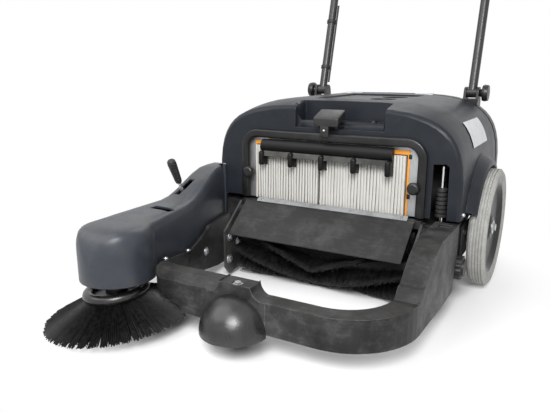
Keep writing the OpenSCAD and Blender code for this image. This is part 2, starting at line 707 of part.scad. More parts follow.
module side_cover() color(blue_grey) difference() {
  loft([for (y = cover_stations(0)) cover_ring(y, 0, cover_low)]);
  loft([for (y = cover_stations(cover_t)) cover_ring(y, cover_t, cover_low - 20)]);
  // The hood's front corner swings through here
  box([-hood_half_w - 6, hood_front - 4, 0], [0, cover_end + 50, 500]);
  // Slots for the lever and for a hand
  box([lever_x - 8, lever_pivot[1] - 52, 200], [lever_x + 8, lever_pivot[1] + 16, 400]);
  translate([side_x, side_y + 150, 200]) linear_extrude(100) square([56, 26], center = true);
}

// Hood

// Roundings of the rear crown and of the rear corners, limited by the depth of the rear housing
crown_round = min(46, housing_behind - housing_front - 20);
corner_round = min(60, housing_behind - housing_front - 8);
function housing_y(share) = housing_behind - corner_round * (1 - share);
function hood_top(y) = hood_high - 18 * pow(min(1, max(0, (-100 - y) / (hood_ahead - 100))), 2)
  - 40 * (1 - sqrt(1 - pow(min(1, max(0, (y - housing_behind) / crown_round + 1)), 2)));
function hood_w(y) = hood_half_w
  - 34 * (1 - sqrt(1 - pow(min(1, max(0, (y - housing_behind) / corner_round + 1)), 2)));
function hood_ring(y, inset, foot) =
  let (w = hood_w(y) - inset, h = hood_top(y) - inset - hood_low)
  concat([[w, y, foot]],
    [for (t = [8 : 6.8333 : 172]) [w * sign(cos(t)) * sqrt(abs(cos(t))), y, hood_low + h * sqrt(sin(t))]],
    [[-w, y, foot]]);
front_edge = 8;

module hood_skin(inset, y0, y1, foot) {
  ys = concat([y0, y0 + 2.5], [for (y = [y0 + front_edge : 41 : y1 - 12]) y], [y1]);
  loft([for (y = ys) let (e = inset == 0 ? front_edge * pow(max(0, 1 - (y - y0) / front_edge), 2) : 0)
    hood_ring(y, inset + e, foot)]);
}

module recess(grow) {
  box([recess_left - grow, hood_front - 20, recess_low - grow],
    [recess_right + grow, recess_back + grow, hood_high + 20]);
  // Shallow tray on top with two round hollows
  box([recess_left + 14 - grow, recess_back + 30 - grow, hood_high - 5 - grow],
    [recess_right - 10 + grow, hood_back - 70 + grow, hood_high + 20]);
  for (y = [-40, 60]) translate([recess_right - 70, y, hood_high - 10 - grow]) cylinder(h = 40, r = 36 + grow);
  // Pocket that rides over the end of the side cover
  box([-hood_half_w - 20, hood_front - 20, hood_low - 40],
    [cover_right(hood_front) + 5 + grow, hood_front + 50 + grow, cover_top(hood_front) + 5 + grow]);
}

// Flared arch over a rear wheel, turned round the axle from its back end to its front end
module wheel_arch(front_deg) {
  back_deg = 58;
  lip_r = wheel_r + 8;
  lip_x = hood_half_w + wheel_gap + tyre_w * 0.45;
  translate([0, 0, axle_z]) rotate([0, 90, 0]) rotate([0, 0, 90 + back_deg])
    rotate_extrude(angle = front_deg - back_deg) polygon([
      [lip_r, hood_half_w - 14], [lip_r, lip_x], [lip_r + 8, lip_x], [lip_r + 14, lip_x - 4],
      [lip_r + 24, hood_half_w + 3], [lip_r + 36, hood_half_w - 14]]);
}

// The left arch is shorter in front, where the side cover ends
module wheel_arches() color(blue_grey) difference() {
  union() {
    wheel_arch(157);
    mirror([1, 0, 0]) wheel_arch(142);
  }
  hood_skin(-part_gap, hood_front, hood_back, hood_low);
}

module hood() color(blue_grey) difference() {
  union() {
    difference() {
      difference() { hood_skin(0, hood_front, hood_back, hood_low); recess(0); }
      difference() { hood_skin(shell_t, hood_front + shell_t, hood_back + 1, hood_low - 30); recess(shell_t); }
    }
    // Ledge along the recess's back wall and bosses beside the latch
    box([recess_left - 1, recess_back - 24, recess_low - 1],
      [recess_right - 14, recess_back + 1, recess_low + 15]);
    for (x = [recess_right - 44, recess_right - 8])
      translate([x, recess_back - 14, recess_low - 1]) cylinder(h = 22, r = 9);
  }
  // Mouth for the filter
  slab_y(hood_front - 10, hood_front + shell_t + 1)
    polygon(concat([[mouth_half_w, hood_low - 9]], arc([mouth_half_w - 26, mouth_high - 26], 26, 0, 90, 6),
      arc([26 - mouth_half_w, mouth_high - 26], 26, 90, 180, 6), [[-mouth_half_w, hood_low - 9]]));
  // Slot that shows the lift rod
  slab_y(hood_front - 10, hood_front + shell_t + 1)
    polygon([[lift_x - 18, hood_low - 9], [lift_x + 20, hood_low - 9], [lift_x + 18, hood_low + 122],
      [lift_x + 10, hood_low + 128], [lift_x - 18, hood_low + 126]]);
}

housing_back = [for (k = [0, 15, 30, 45, 58, 68, 76, 83]) housing_y(k / 83)];
module rear_housing() color(blue_grey) {
  difference() {
    loft([for (y = concat([housing_front], housing_back)) hood_ring(y, 0, deck_high + part_gap)]);
    loft([for (y = concat([housing_front - 1], [for (k = [0, 20, 40, 60, 76]) housing_y(k / 83)]))
      hood_ring(y, shell_t, deck_high - 20)]);
  }
}

// Two hinges between hood and rear housing
hinge_x = 110;
knuckle_r = 6;
pin_r = 3;
function leaf_top(x) =
  hood_low + (hood_h - shell_t) * pow(1 - pow(x / (hood_half_w - shell_t), 4), 1 / 4) - 0.6;
module knuckles(spans) for (s = [-1, 1], p = spans) difference() {
  rod_x(s * hinge_x + p[0], s * hinge_x + p[1], hinge_behind, hinge_z, knuckle_r);
  rod_x(s * hinge_x + p[0] - 1, s * hinge_x + p[1] + 1, hinge_behind, hinge_z, pin_r + run_gap);
}

module hood_hinge() color(steel) {
  knuckles([[-12, 12]]);
  for (s = [-1, 1]) difference() {
    box([s * hinge_x - 12, hinge_behind - 50, leaf_top(hinge_x + 12) - 2],
      [s * hinge_x + 12, hinge_behind - 1, leaf_top(hinge_x + 12)]);
    rod_x(s * hinge_x - 13, s * hinge_x + 13, hinge_behind, hinge_z, knuckle_r - 1);
  }
}

// The rear leaves end where the crown begins to fall
rear_leaf = min(32, housing_behind - crown_round - hinge_behind - 2);
module rear_hinge() color(steel) {
  knuckles([[-26, -12 - part_gap], [12 + part_gap, 26]]);
  for (s = [-1, 1]) {
    rod_x(s * hinge_x - 27, s * hinge_x + 27, hinge_behind, hinge_z, pin_r);
    for (x = [-26, 12 + part_gap]) difference() {
      box([s * hinge_x + x, hinge_behind + 1, leaf_top(hinge_x + 26) - 2],
        [s * hinge_x + x + 14 - part_gap, hinge_behind + rear_leaf, leaf_top(hinge_x + 26)]);
      rod_x(s * hinge_x - 30, s * hinge_x + 30, hinge_behind, hinge_z, knuckle_r - 1);
    }
  }
}

// Seal: inverted U of black rubber on the hood's front
module seal_outline(half, high, r, foot) polygon(concat([[half, foot]], arc([half - r, high - r], r, 0, 90, 8),
  arc([r - half, high - r], r, 90, 180, 8), [[-half, foot]]));

module filter_seal() color(deep_black) slab_y(seal_y - seal_t, seal_y) difference() {
  seal_outline(seal_half_w, seal_high, 48, hood_low);
  seal_outline(seal_in, seal_high - seal_w, 30, hood_low - 1);
}

// Sheet behind the hood's mouth that the filter frame and its two knobs are fixed to
module filter_plate() color(steel) difference() {
  slab_y(filter_front, filter_front + 2) difference() {
    seal_outline(mouth_half_w + 8, mouth_high + 6, 12, filter_low);
    translate([filter_left - part_gap, filter_low - 1])
      square([filter_right - filter_left + 2 * part_gap, filter_high - filter_low + 1 + part_gap]);
  }
  both_sides() translate([knob_x, filter_front - 1, knob_z]) rotate([-90, 0, 0]) cylinder(h = 4, r = 4 + run_gap);
}

// Frame round the paper on three sides
module filter_frame() color([0.94, 0.6, 0.18]) slab_y(filter_front, filter_front + filter_depth) difference() {
  translate([filter_left, filter_low]) square([filter_right - filter_left, filter_high - filter_low]);
  translate([filter_left + filter_rim, filter_low - 1])
    square([filter_right - filter_left - 2 * filter_rim, filter_high - filter_low + 1 - 2 * filter_rim]);
}

// Pleated paper: one zigzag sheet standing in the frame and out of its front
module filter_pleats() color([0.88, 0.87, 0.84]) {
  left = filter_left + filter_rim + part_gap;
  right = filter_right - filter_rim - part_gap;
  step = (right - left) / pleats;
  y0 = filter_front - pleat_out;
  y1 = filter_front + filter_depth - 8;
  translate([0, 0, filter_low]) linear_extrude(filter_high - 2 * filter_rim - part_gap - filter_low) polygon(concat(
    [for (i = [0 : pleats - 1]) each [[left + i * step, y1 - 12], [left + (i + 0.5) * step, y0]]],
    [[right, y1 - 12], [right, y1], [left, y1]]));
}

// Shaker bar: half-round rail with five fingers on the pleats
module shaker_bar() color(deep_black) {
  rail_z = mouth_high - 21;
  rail_r = 17;
  rail_left = filter_left + 32;
  rail_right = filter_right - 34;
  finger_w = 12;
  back = filter_front - pleat_out - part_gap;
  intersection() {
    rod_x(rail_left, rail_right, back, rail_z, rail_r);
    box([rail_left - 1, back - rail_r - 1, rail_z - rail_r - 1], [rail_right + 1, back, rail_z + rail_r + 1]);
  }
  for (i = [0 : 4]) translate([rail_left + i * (rail_right - rail_left - finger_w) / 4, 0, 0])
    slab_x(0, finger_w, [[back, rail_z - 4], [back, rail_z - 50], [back - 7, rail_z - 44], [back - 10, rail_z - 4]]);
}

module shaker_motor() color(steel) {
  y0 = filter_front + filter_depth + part_gap;
  box([-40, y0, filter_high - 70], [40, y0 + 3, filter_high]);
  translate([0, y0 + 2, filter_high - 34]) rotate([-90, 0, 0]) cylinder(h = 36, r = 24);
}

// Latch that holds the hopper
module latch_bracket() color(deep_black) {
  foot = recess_low + part_gap;
  box([-27, hood_front - 1, foot], [27, hood_front + 30, foot + 5]);
  for (x = [-27, 21]) slab_x(x, x + 6, concat(
    [[latch_pivot[0] + 9, foot + 4]], arc(latch_pivot, 7, 20, 180, 8), [[latch_pivot[0] - 5, foot + 1]]));
  rod_x(-27, 27, latch_pivot[0], latch_pivot[1], 4);
}

module latch_paddle() color(frame_black) difference() {
  union() {
    rod_x(-21 + part_gap, 21 - part_gap, latch_pivot[0], latch_pivot[1], 7);
    slab_x(-30, 36, [
      latch_pivot + [-24, -10], latch_pivot + [-24, 4], latch_pivot + [20, 30], latch_pivot + [26, 28],
      latch_pivot + [24, 22], latch_pivot + [-16, 2], latch_pivot + [-18, -10]]);
    slab_x(-16, 16, [latch_pivot + [-20, 2], latch_pivot + [0, 7], latch_pivot + [7, 0], latch_pivot + [-18, -8]]);
    slab_x(-12, 12, [latch_pivot + [-24, -9], latch_pivot + [-20, -34], latch_pivot + [-14, -34],
      latch_pivot + [-15, -28], latch_pivot + [-18, -9]]);
  }
  rod_x(-40, 40, latch_pivot[0], latch_pivot[1], 4 + run_gap);
}

knob_y = seal_y - seal_t - part_gap;
module filter_knob() color(deep_black) translate([0, knob_y, knob_z]) rotate([-90, 0, 0]) {
  translate([0, 0, -13]) rotate_extrude() polygon([[0, 0], [10, 0], [13, 2], [15, 8], [14, 13], [0, 13]]);
  translate([0, 0, -1]) cylinder(h = filter_front + 9 - knob_y, r = 4);
}
module filter_knob_left() translate([-knob_x, 0, 0]) filter_knob();
module filter_knob_right() translate([knob_x, 0, 0]) filter_knob();

// What stands on the deck under the hood

module batteries() color(deep_black) both_sides() {
  low = [38, hood_front + 116, deck_high];
  size = [broom_len / 2 - low[0] - 4, hood_ahead - 50, hood_h - 66];
  translate(low) cube(size);
  for (x = [40, size[0] - 40]) translate(low + [x, 40, size[2] - eps]) cylinder(h = 12, r = 9);
}

module fan_housing() color(deep_black) translate([0, hinge_behind - 70, deck_high]) {
  fan_r = 66;
  fan_h = 90;
  cylinder(h = fan_h, r = fan_r);
  translate([-30, 0, 10]) cube([fan_r + 84, fan_r - 6, fan_h - 30]);
  translate([0, 0, fan_h - eps]) cylinder(h = 50, r = fan_r - 32);
}

lift_at = [lift_x, hood_front + 26];
module lift_rod() color(steel) translate([lift_at[0], lift_at[1], deck_high]) cylinder(h = 138, r = 5);

module lift_boot() color(deep_black) translate([lift_at[0], lift_at[1], deck_high]) rotate_extrude()
  polygon(concat([[5 + run_gap, 20]],
    [for (i = [0 : 6]) each [[13, 20 + i * 10], [13, 26 + i * 10], [9, 28 + i * 10]]], [[5 + run_gap, 88]]));

// Handle

module at_handle() { translate([0, handle_y, handle_z]) rotate([-handle_lean, 0, 0]) children(); }
ear_gap = 14;
ear_t = 7;
boss_r = 14;

module handle_brackets() color(deep_black) both_sides() difference() {
  foot = handle_z - boss_r - 2.5;
  union() {
    for (x = [handle_x - ear_gap - ear_t, handle_x + ear_gap]) slab_x(x, x + ear_t, concat(
      [[handle_y - 24, foot - 20]], arc([handle_y, handle_z], 17, 170, 10, 10), [[handle_y + 24, foot - 20]]));
    box([handle_x - ear_gap - ear_t, handle_y - 24, foot - 30], [handle_x + ear_gap + ear_t, handle_y + 24, foot]);
  }
  rod_x(handle_x - 40, handle_x + 40, handle_y, handle_z, 6 + run_gap);
  // Seat on the crowned shell
  loft([for (y = concat([housing_front - 10], housing_back)) hood_ring(y, -part_gap, deck_high)]);
}

module handle_leg() {
  rod_x(handle_x - ear_gap + part_gap, handle_x + ear_gap - part_gap, 0, 0, boss_r);
  rod_x(handle_x - ear_gap - ear_t, handle_x - ear_gap + 2, 0, 0, 6);
  translate([handle_x, 0, 0]) cylinder(h = handle_len - bend_r, r = tube_r);
  translate([handle_x - bend_r, 0, handle_len - bend_r]) rotate([90, 0, 0])
    rotate_extrude(angle = 90) translate([bend_r, 0]) circle(tube_r);
}

module handle_tube() color(deep_black) at_handle() difference() {
  union() {
    both_sides() handle_leg();
    rod_x(bend_r - handle_x, handle_x - bend_r, 0, handle_len, tube_r);
  }
  both_sides() rod_x(handle_x - 30, handle_x + 30, 0, bail_h, 5 + run_gap);
}

bail_h = handle_len - 104;
grip_half = handle_x - bend_r - 10;
grip_r = tube_r + 4;
module handle_grip() color(deep_black) at_handle() ring_x(-grip_half, grip_half, 0, handle_len, grip_r, tube_r);

// Bail: bent rod that is drawn against the grip to drive
module drive_bail() color(deep_black) at_handle() {
  rod_r = 5;
  top = handle_len - 26;
  y = -44;
  for (s = [-1, 1]) {
    ends = [s * (handle_x - 26), s * (handle_x + 15)];
    rod_x(min(ends), max(ends), 0, bail_h, rod_r);
    hull() {
      translate([s * (handle_x - 24), 0, bail_h]) sphere(rod_r, $fn = 16);
      translate([s * (handle_x - 24), y, top]) sphere(rod_r, $fn = 16);
    }
  }
  rod_x(24 - handle_x, handle_x - 24, y, top, rod_r);
}

module drive_cable() color(deep_black) at_handle() {
  for (z = [70, handle_len - 192]) translate([-handle_x, 0, z]) difference() {
    cylinder(h = 10, r = tube_r + 3);
    translate([0, 0, -1]) cylinder(h = 12, r = tube_r);
  }
  translate([-handle_x + tube_r + 5, 0, 26]) cylinder(h = handle_len - 160, r = 3);
}

knob_face = handle_x + ear_gap + ear_t + part_gap;
module handle_knob() color(deep_black) translate([knob_face, handle_y, handle_z]) rotate([0, 90, 0]) {
  rotate_extrude() polygon([[0, 0], [10, 0], [12, 6], [22, 8], [24, 14], [22, 24], [0, 26]]);
  translate([0, 0, -ear_t - part_gap]) cylinder(h = ear_t + part_gap + 1, r = 6);
}
module handle_knob_right() handle_knob();
module handle_knob_left() mirror([1, 0, 0]) handle_knob();

module adjust_knob() color(deep_black) translate([deck_half_w, adjust_y, adjust_z]) rotate([0, 90, 0]) {
  translate([0, 0, -18]) cylinder(h = 22, r = 5);
  translate([0, 0, 3]) linear_extrude(20)
    polygon([for (i = [0 : 47]) let (r = knob_r - (i % 4 < 2 ? 0 : 2)) r * [cos(i * 7.5), sin(i * 7.5)]]);
  translate([0, 0, 23 - eps]) cylinder(h = 5, r = knob_r - 8);
}

front_frame();
caster_cover();
caster_bolt();
deck();
cross_bar();
broom_plate_left();
broom_plate_right();
flap_strip();
side_cover();
arm_bracket();
lever_bracket();
rear_axle();
hub_bolts();
rear_housing();
rear_hinge();
batteries();
fan_housing();
drive_motor();
drive_belt();
lift_rod();
lift_boot();
handle_brackets();
left_tyre();
left_rim();
right_tyre();
right_rim();
caster_fork();
caster_wheel();
main_bristles();
broom_core();
broom_pulley();
motor_pulley();
side_arm();
side_motor();
side_hub();
side_bristles();
side_lever();
lever_grip();
hood();
wheel_arches();
hood_hinge();
filter_seal();
filter_plate();
filter_frame();
filter_pleats();
shaker_bar();
shaker_motor();
latch_bracket();
latch_paddle();
filter_knob_left();
filter_knob_right();
flap();
handle_tube();
handle_grip();
drive_cable();
handle_knob_left();
handle_knob_right();
drive_bail();
adjust_knob();
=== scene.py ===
import json
import math
import random

import bmesh
import bpy
from mathutils import Matrix, Vector


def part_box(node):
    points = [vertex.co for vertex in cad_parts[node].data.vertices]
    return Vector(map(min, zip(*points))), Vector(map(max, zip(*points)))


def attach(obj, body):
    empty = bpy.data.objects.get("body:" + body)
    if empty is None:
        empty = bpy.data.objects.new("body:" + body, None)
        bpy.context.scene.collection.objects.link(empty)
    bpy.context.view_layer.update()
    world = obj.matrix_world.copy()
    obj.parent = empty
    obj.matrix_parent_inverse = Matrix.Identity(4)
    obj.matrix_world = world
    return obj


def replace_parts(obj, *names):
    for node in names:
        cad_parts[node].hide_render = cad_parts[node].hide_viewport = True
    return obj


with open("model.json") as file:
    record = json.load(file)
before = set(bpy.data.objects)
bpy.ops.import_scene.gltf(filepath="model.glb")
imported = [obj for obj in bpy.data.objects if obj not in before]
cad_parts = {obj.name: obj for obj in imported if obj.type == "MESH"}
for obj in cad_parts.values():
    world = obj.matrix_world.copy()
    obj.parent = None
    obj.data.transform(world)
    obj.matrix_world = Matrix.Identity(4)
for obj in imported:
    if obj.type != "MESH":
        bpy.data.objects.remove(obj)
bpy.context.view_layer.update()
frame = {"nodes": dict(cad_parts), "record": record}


# The studio. A white paper floor fades into a white surround. A soft key lamp stands at the front right, a
# broad lamp hangs over the left front and a weak one behind. The camera stands before the machine's right
# front corner, a little above the hood.
scene = bpy.context.scene
scene.view_settings.view_transform = "Standard"

camera = bpy.data.objects.new("camera", bpy.data.cameras.new("camera"))
scene.collection.objects.link(camera)
camera.location = (0.564616, -1.464334, 0.545067)
camera.rotation_euler = (math.radians(75.178), 0, math.radians(29.945))
camera.data.sensor_width = 36
camera.data.lens = 36.166
camera.data.shift_y = 0.01545
scene.camera = camera


def softbox(name, place, aim, size, power):
    """Round area lamp that looks from its place to an aim point."""
    lamp = bpy.data.lights.new(name, "AREA")
    lamp.shape = "DISK"
    lamp.size = size
    lamp.energy = power
    holder = bpy.data.objects.new(name, lamp)
    scene.collection.objects.link(holder)
    holder.location = place
    holder.rotation_euler = (Vector(aim) - Vector(place)).to_track_quat("-Z", "Y").to_euler()


softbox("key_lamp", (0.8, -2.35, 1.85), aim=(-0.1, -0.5, 0.15), size=1.35, power=86)
softbox("sky_lamp", (-1.5, -1.7, 2.6), aim=(-0.1, -0.3, 0.2), size=3.2, power=50)
softbox("back_lamp", (-0.6, 1.9, 2.6), aim=(0, 0.1, 0.4), size=1.6, power=14)


class Shade:
    """One socket of a material. Arithmetic on it adds Math nodes, and make() adds any other node."""

    def __init__(self, tree, socket=None):
        self.tree = tree
        self.socket = socket

    def make(self, kind, settings=None, links=None, out=0):
        node = self.tree.nodes.new("ShaderNode" + kind)
        for key, value in (settings or {}).items():
            setattr(node, key, value)
        for key, value in (links or {}).items():
            if isinstance(value, Shade):
                self.tree.links.new(value.socket, node.inputs[key])
            else:
                node.inputs[key].default_value = value
        return Shade(self.tree, node.outputs[out])

    def maths(self, operation, first, second):
        return self.make("Math", {"operation": operation}, {0: first, 1: second})

    def __add__(self, other):
        return self.maths("ADD", self, other)

    def __radd__(self, other):
        return self.maths("ADD", other, self)

    def __sub__(self, other):
        return self.maths("SUBTRACT", self, other)

    def __rsub__(self, other):
        return self.maths("SUBTRACT", other, self)

    def __mul__(self, other):
        return self.maths("MULTIPLY", self, other)

    def __rmul__(self, other):
        return self.maths("MULTIPLY", other, self)

    def between(self, low, high):
        """Smooth step from 0 at low to 1 at high."""
        return self.make("MapRange", {"interpolation_type": "SMOOTHSTEP"},
                         {"Value": self, "From Min": low, "From Max": high})

    def blend(self, first, second):
        """Colour from first to second, with this value as the share of the second."""
        colours = [(*c, 1) if isinstance(c, tuple) else c for c in (first, second)]
        return self.make("Mix", {"data_type": "RGBA"}, {0: self, 6: colours[0], 7: colours[1]}, 2)

    def noise(self, place, scale, detail=3.0, rough=0.5):
        return self.make("TexNoise", None,
                         {"Vector": place, "Scale": scale, "Detail": detail, "Roughness": rough})

    def stretched(self, place, scale):
        return self.make("Mapping", None, {"Vector": place, "Scale": scale})


fill_light = 0.32
surround = bpy.data.worlds.new("surround")
scene.world = surround
surround.use_nodes = True
sky = Shade(surround.node_tree)
seen = (sky.make("LightPath", out="Is Camera Ray") + sky.make("LightPath", out="Is Glossy Ray")
        + sky.make("LightPath", out="Is Transmission Ray")).between(0.0, 1.0)
backing = surround.node_tree.nodes["Background"]
backing.inputs["Color"].default_value = (1, 1, 1, 1)
surround.node_tree.links.new((fill_light + seen * (1 - fill_light)).socket, backing.inputs["Strength"])

floor_half = 9.0
machine_middle = (0, -0.28, 0)
fade_from, fade_to = 0.36, 0.7
floor_shape = bmesh.new()
bmesh.ops.create_grid(floor_shape, x_segments=2, y_segments=2, size=floor_half)
floor_data = bpy.data.meshes.new("studio_floor")
floor_shape.to_mesh(floor_data)
floor_shape.free()
floor = bpy.data.objects.new("studio_floor", floor_data)
scene.collection.objects.link(floor)
paper = bpy.data.materials.new("floor_paper")
paper.use_nodes = True
paper_tree = paper.node_tree
paper_shader = paper_tree.nodes["Principled BSDF"]
paper_shader.inputs["Base Color"].default_value = (0.95, 0.95, 0.95, 1)
paper_shader.inputs["Roughness"].default_value = 0.9
paper_shader.inputs["Specular IOR Level"].default_value = 0.1
ground = Shade(paper_tree)
far = ground.make("VectorMath", {"operation": "DISTANCE"},
                  {0: ground.make("TexCoord", out="Object"), 1: machine_middle}, "Value")
white = ground.make("Emission", None, {"Color": (1, 1, 1, 1), "Strength": 1.0})
lit_paper = Shade(paper_tree, paper_shader.outputs[0])
fade = ground.make("MixShader", None, {0: far.between(fade_from, fade_to), 1: lit_paper, 2: white})
paper_tree.links.new(fade.socket, paper_tree.nodes["Material Output"].inputs["Surface"])
floor_data.materials.append(paper)


# The front frame is one black moulding: bumper bar, right arm and left wall. Its plastic has a fine grain, is
# scuffed along the bar and carries grey dust on what faces up. The domed caster cover at the bar's front is
# a smoother plastic with a soft shine.
def coated(name, recipe):
    """A material whose recipe gets an empty Shade and returns the Principled shader's inputs."""
    material = bpy.data.materials.new(name)
    material.use_nodes = True
    tree = material.node_tree
    shader = tree.nodes["Principled BSDF"]
    for key, value in recipe(Shade(tree)).items():
        if isinstance(value, Shade):
            tree.links.new(value.socket, shader.inputs[key])
        else:
            shader.inputs[key].default_value = value
    return material


def eased(paint, radius, height, strength, depth):
    """Normal with softened edges and a fine relief on top."""
    soft = paint.make("Bevel", {"samples": 6}, {"Radius": radius})
    return paint.make("Bump", None,
                      {"Height": height, "Strength": strength, "Distance": depth, "Normal": soft})


def rubbed_and_highlit(paint, place, radius):
    """Patchy factor that is high along outer edges, pale from handling and from a painted highlight."""
    round_way = paint.make("Bevel", {"samples": 4}, {"Radius": radius})
    flat_way = paint.make("NewGeometry", out="Normal")
    turn = 1.0 - paint.make("VectorMath", {"operation": "DOT_PRODUCT"}, {0: round_way, 1: flat_way}, "Value")
    return turn.between(0.015, 0.16) * paint.noise(place, 26.0, 6.0, 0.7).between(0.4, 0.62)


def moulding(name, colour, pale, dust, dusty, rough, grain, wear, shine):
    """Grained plastic that clouds and scuffs from its colour to pale, with dust on what faces up."""
    def recipe(paint):
        place = paint.make("TexCoord", out="Object")
        cloud = paint.noise(place, 6.0, 6.0, 0.6).between(0.3, 0.72)
        scuff = paint.noise(paint.stretched(place, (30, 9, 55)), 3.0, 6.0, 0.7).between(0.58, 0.78)
        blotch = paint.noise(place, 22.0, 7.0, 0.7).between(0.4, 0.66)
        speck = paint.noise(paint.stretched(place, (40, 130, 130)), 1.0, 5.0, 0.7).between(0.42, 0.68)
        facing = paint.make("NewGeometry", out="Normal")
        up = paint.make("SeparateXYZ", None, {0: facing}, "Z").between(0.1, 0.95)
        settled = (up * 0.75 + 0.25) * paint.noise(place, 14.0, 7.0, 0.68).between(0.36, 0.7) * dusty
        mottle = cloud * 0.2 + scuff * 0.25 + blotch * cloud * 0.35 + blotch * speck * 0.25
        dusted = settled.blend(mottle.blend(colour, pale), dust)
        # Outer edges go pale, partly from real wear and partly as a painted highlight of light caught on the
        # edge.
        polished_and_highlight = tuple(3.2 * c + 0.02 for c in pale)
        worn = (rubbed_and_highlit(paint, place, 0.003) * 0.32).blend(dusted, polished_and_highlight)
        fine = paint.noise(place, grain, 2.0) * 0.5 + scuff * 0.2
        relief = fine + blotch * (0.4 * wear) + speck * (0.3 * wear)
        return {"Base Color": worn,
                "Roughness": rough + settled * 0.2 + blotch * (0.2 * wear) - scuff * 0.08,
                "Specular IOR Level": shine, "Normal": eased(paint, 0.0022, relief, 0.25, 0.0006)}
    return coated(name, recipe)


def dress(material, *nodes):
    """Gives the CAD nodes their finish. Their meshes stay as they are."""
    for node in nodes:
        data = frame["nodes"][node].data
        data.materials.clear()
        data.materials.append(material)


frame_black = moulding("frame_moulding", (0.006, 0.006, 0.006), (0.098, 0.098, 0.097), (0.06, 0.058, 0.053),
                       dusty=0.3, rough=0.33, grain=900.0, wear=1.0, shine=0.2)
dress(frame_black, "front_frame")
dome_black = moulding("dome_moulding", (0.008, 0.008, 0.008), (0.03, 0.03, 0.0297), (0.05, 0.048, 0.044),
                      dusty=0.15, rough=0.245, grain=1100.0, wear=0.8, shine=0.6)
dress(dome_black, "caster_cover")


# The caster under the bar has a pressed steel fork, zinc-plated, and a small hard rubber wheel. A hexagon
# bolt on top of the bar holds its stem. The zinc is brushed and stained, the rubber worn and streaked.
def plated(name, colour, rough, grain, marks):
    """Plated steel with a brushed grain and dark stains."""
    def recipe(paint):
        place = paint.make("TexCoord", out="Object")
        brushed = paint.noise(paint.stretched(place, grain), 4.0, 4.0, 0.6)
        stain = paint.noise(place, 18.0, 6.0, 0.65).between(0.42, 0.72)
        base = (stain * marks).blend(colour, tuple(0.45 * c for c in colour))
        return {"Base Color": base, "Metallic": 1.0, "Roughness": rough + stain * 0.2 + brushed * 0.1,
                "Normal": eased(paint, 0.0008, brushed, 0.12, 0.0003)}
    return coated(name, recipe)


def rubbery(name, colour, pale, rough, grain):
    """Rubber that is worn to pale in patches and in streaks along X."""
    def recipe(paint):
        place = paint.make("TexCoord", out="Object")
        worn = paint.noise(place, 11.0, 7.0, 0.7).between(0.42, 0.68)
        streak = paint.noise(paint.stretched(place, (6, 60, 60)), 4.0, 4.0, 0.6).between(0.5, 0.8)
        relief = paint.noise(place, grain, 3.0) * 0.7 + streak * 0.3
        return {"Base Color": (worn * 0.6 + streak * 0.35).blend(colour, pale),
                "Roughness": rough + worn * 0.1, "Specular IOR Level": 0.35,
                "Normal": eased(paint, 0.0014, relief, 0.2, 0.0005)}
    return coated(name, recipe)


zinc = plated("zinc_plate", (0.56, 0.57, 0.58), rough=0.34, grain=(4, 60, 60), marks=0.5)
dress(zinc, "caster_fork", "caster_bolt")
caster_tread = rubbery("caster_tread", (0.05, 0.05, 0.05), (0.1, 0.1, 0.095), rough=0.6, grain=500.0)
dress(caster_tread, "caster_wheel")


# Steel that carries the drive: deck and cross bar, the side broom's arm, its bracket and the lever's, and the
# side plates of the broom tunnel, all powder-coated. Zinc hexagon bolts hold the broom's bearing to the left
# plate, and a larger and two small ones hold the frame's left wall.
def powder(name, colour, pale, rough):
    """Powder coat with a faint orange peel and thin dust."""
    def recipe(paint):
        place = paint.make("TexCoord", out="Object")
        peel = paint.noise(place, 420.0, 2.0)
        dusty = paint.noise(place, 11.0, 6.0, 0.66).between(0.42, 0.74)
        return {"Base Color": (dusty * 0.7).blend(colour, pale), "Roughness": rough + dusty * 0.2,
                "Specular IOR Level": 0.5, "Normal": eased(paint, 0.001, peel, 0.18, 0.0004)}
    return coated(name, recipe)


black_steel = powder("black_powder_coat", (0.012, 0.012, 0.012), (0.036, 0.035, 0.033), rough=0.42)
dress(black_steel, "deck", "cross_bar", "arm_bracket", "lever_bracket", "side_arm")
tunnel_steel = powder("tunnel_plate", (0.022, 0.022, 0.022), (0.075, 0.072, 0.068), rough=0.36)
dress(tunnel_steel, "broom_plate_left", "broom_plate_right")


def piece(name, shape, material, body):
    """Turns a finished bmesh into an object at the origin that rides on a CAD body."""
    bmesh.ops.recalc_face_normals(shape, faces=shape.faces)
    data = bpy.data.meshes.new(name)
    shape.to_mesh(data)
    shape.free()
    data.materials.append(material)
    thing = bpy.data.objects.new(name, data)
    scene.collection.objects.link(thing)
    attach(thing, body)
    return thing


def smoothed(thing, sharp):
    """Smooth shading, with edges sharper than that many degrees left hard."""
    data = thing.data
    for face in data.polygons:
        face.use_smooth = True
    data.set_sharp_from_angle(angle=math.radians(sharp))
    return thing


def hex_bolt(shape, place, way, across, high):
    """Hexagon head on a washer, standing on a face at place and pointing along way."""
    turn = Matrix.Translation(place) @ Vector(way).to_track_quat("Z", "Y").to_matrix().to_4x4()
    bmesh.ops.create_cone(shape, cap_ends=True, segments=24, radius1=across * 0.95, radius2=across * 0.92,
                          depth=high * 0.3, matrix=turn @ Matrix.Translation((0, 0, high * 0.15)))
    corner_r = across * 0.577
    head = bmesh.ops.create_cone(shape, cap_ends=True, segments=6, radius1=corner_r, radius2=corner_r,
                                 depth=high, matrix=turn @ Matrix.Translation((0, 0, high * 0.65)))
    rim = {e for v in head["verts"] for e in v.link_edges if e.calc_face_angle(0) > 1.2}
    bmesh.ops.bevel(shape, geom=list(rim), offset=across * 0.05, offset_type="OFFSET", affect="EDGES",
                    segments=1, profile=0.5, material=-1, clamp_overlap=True)


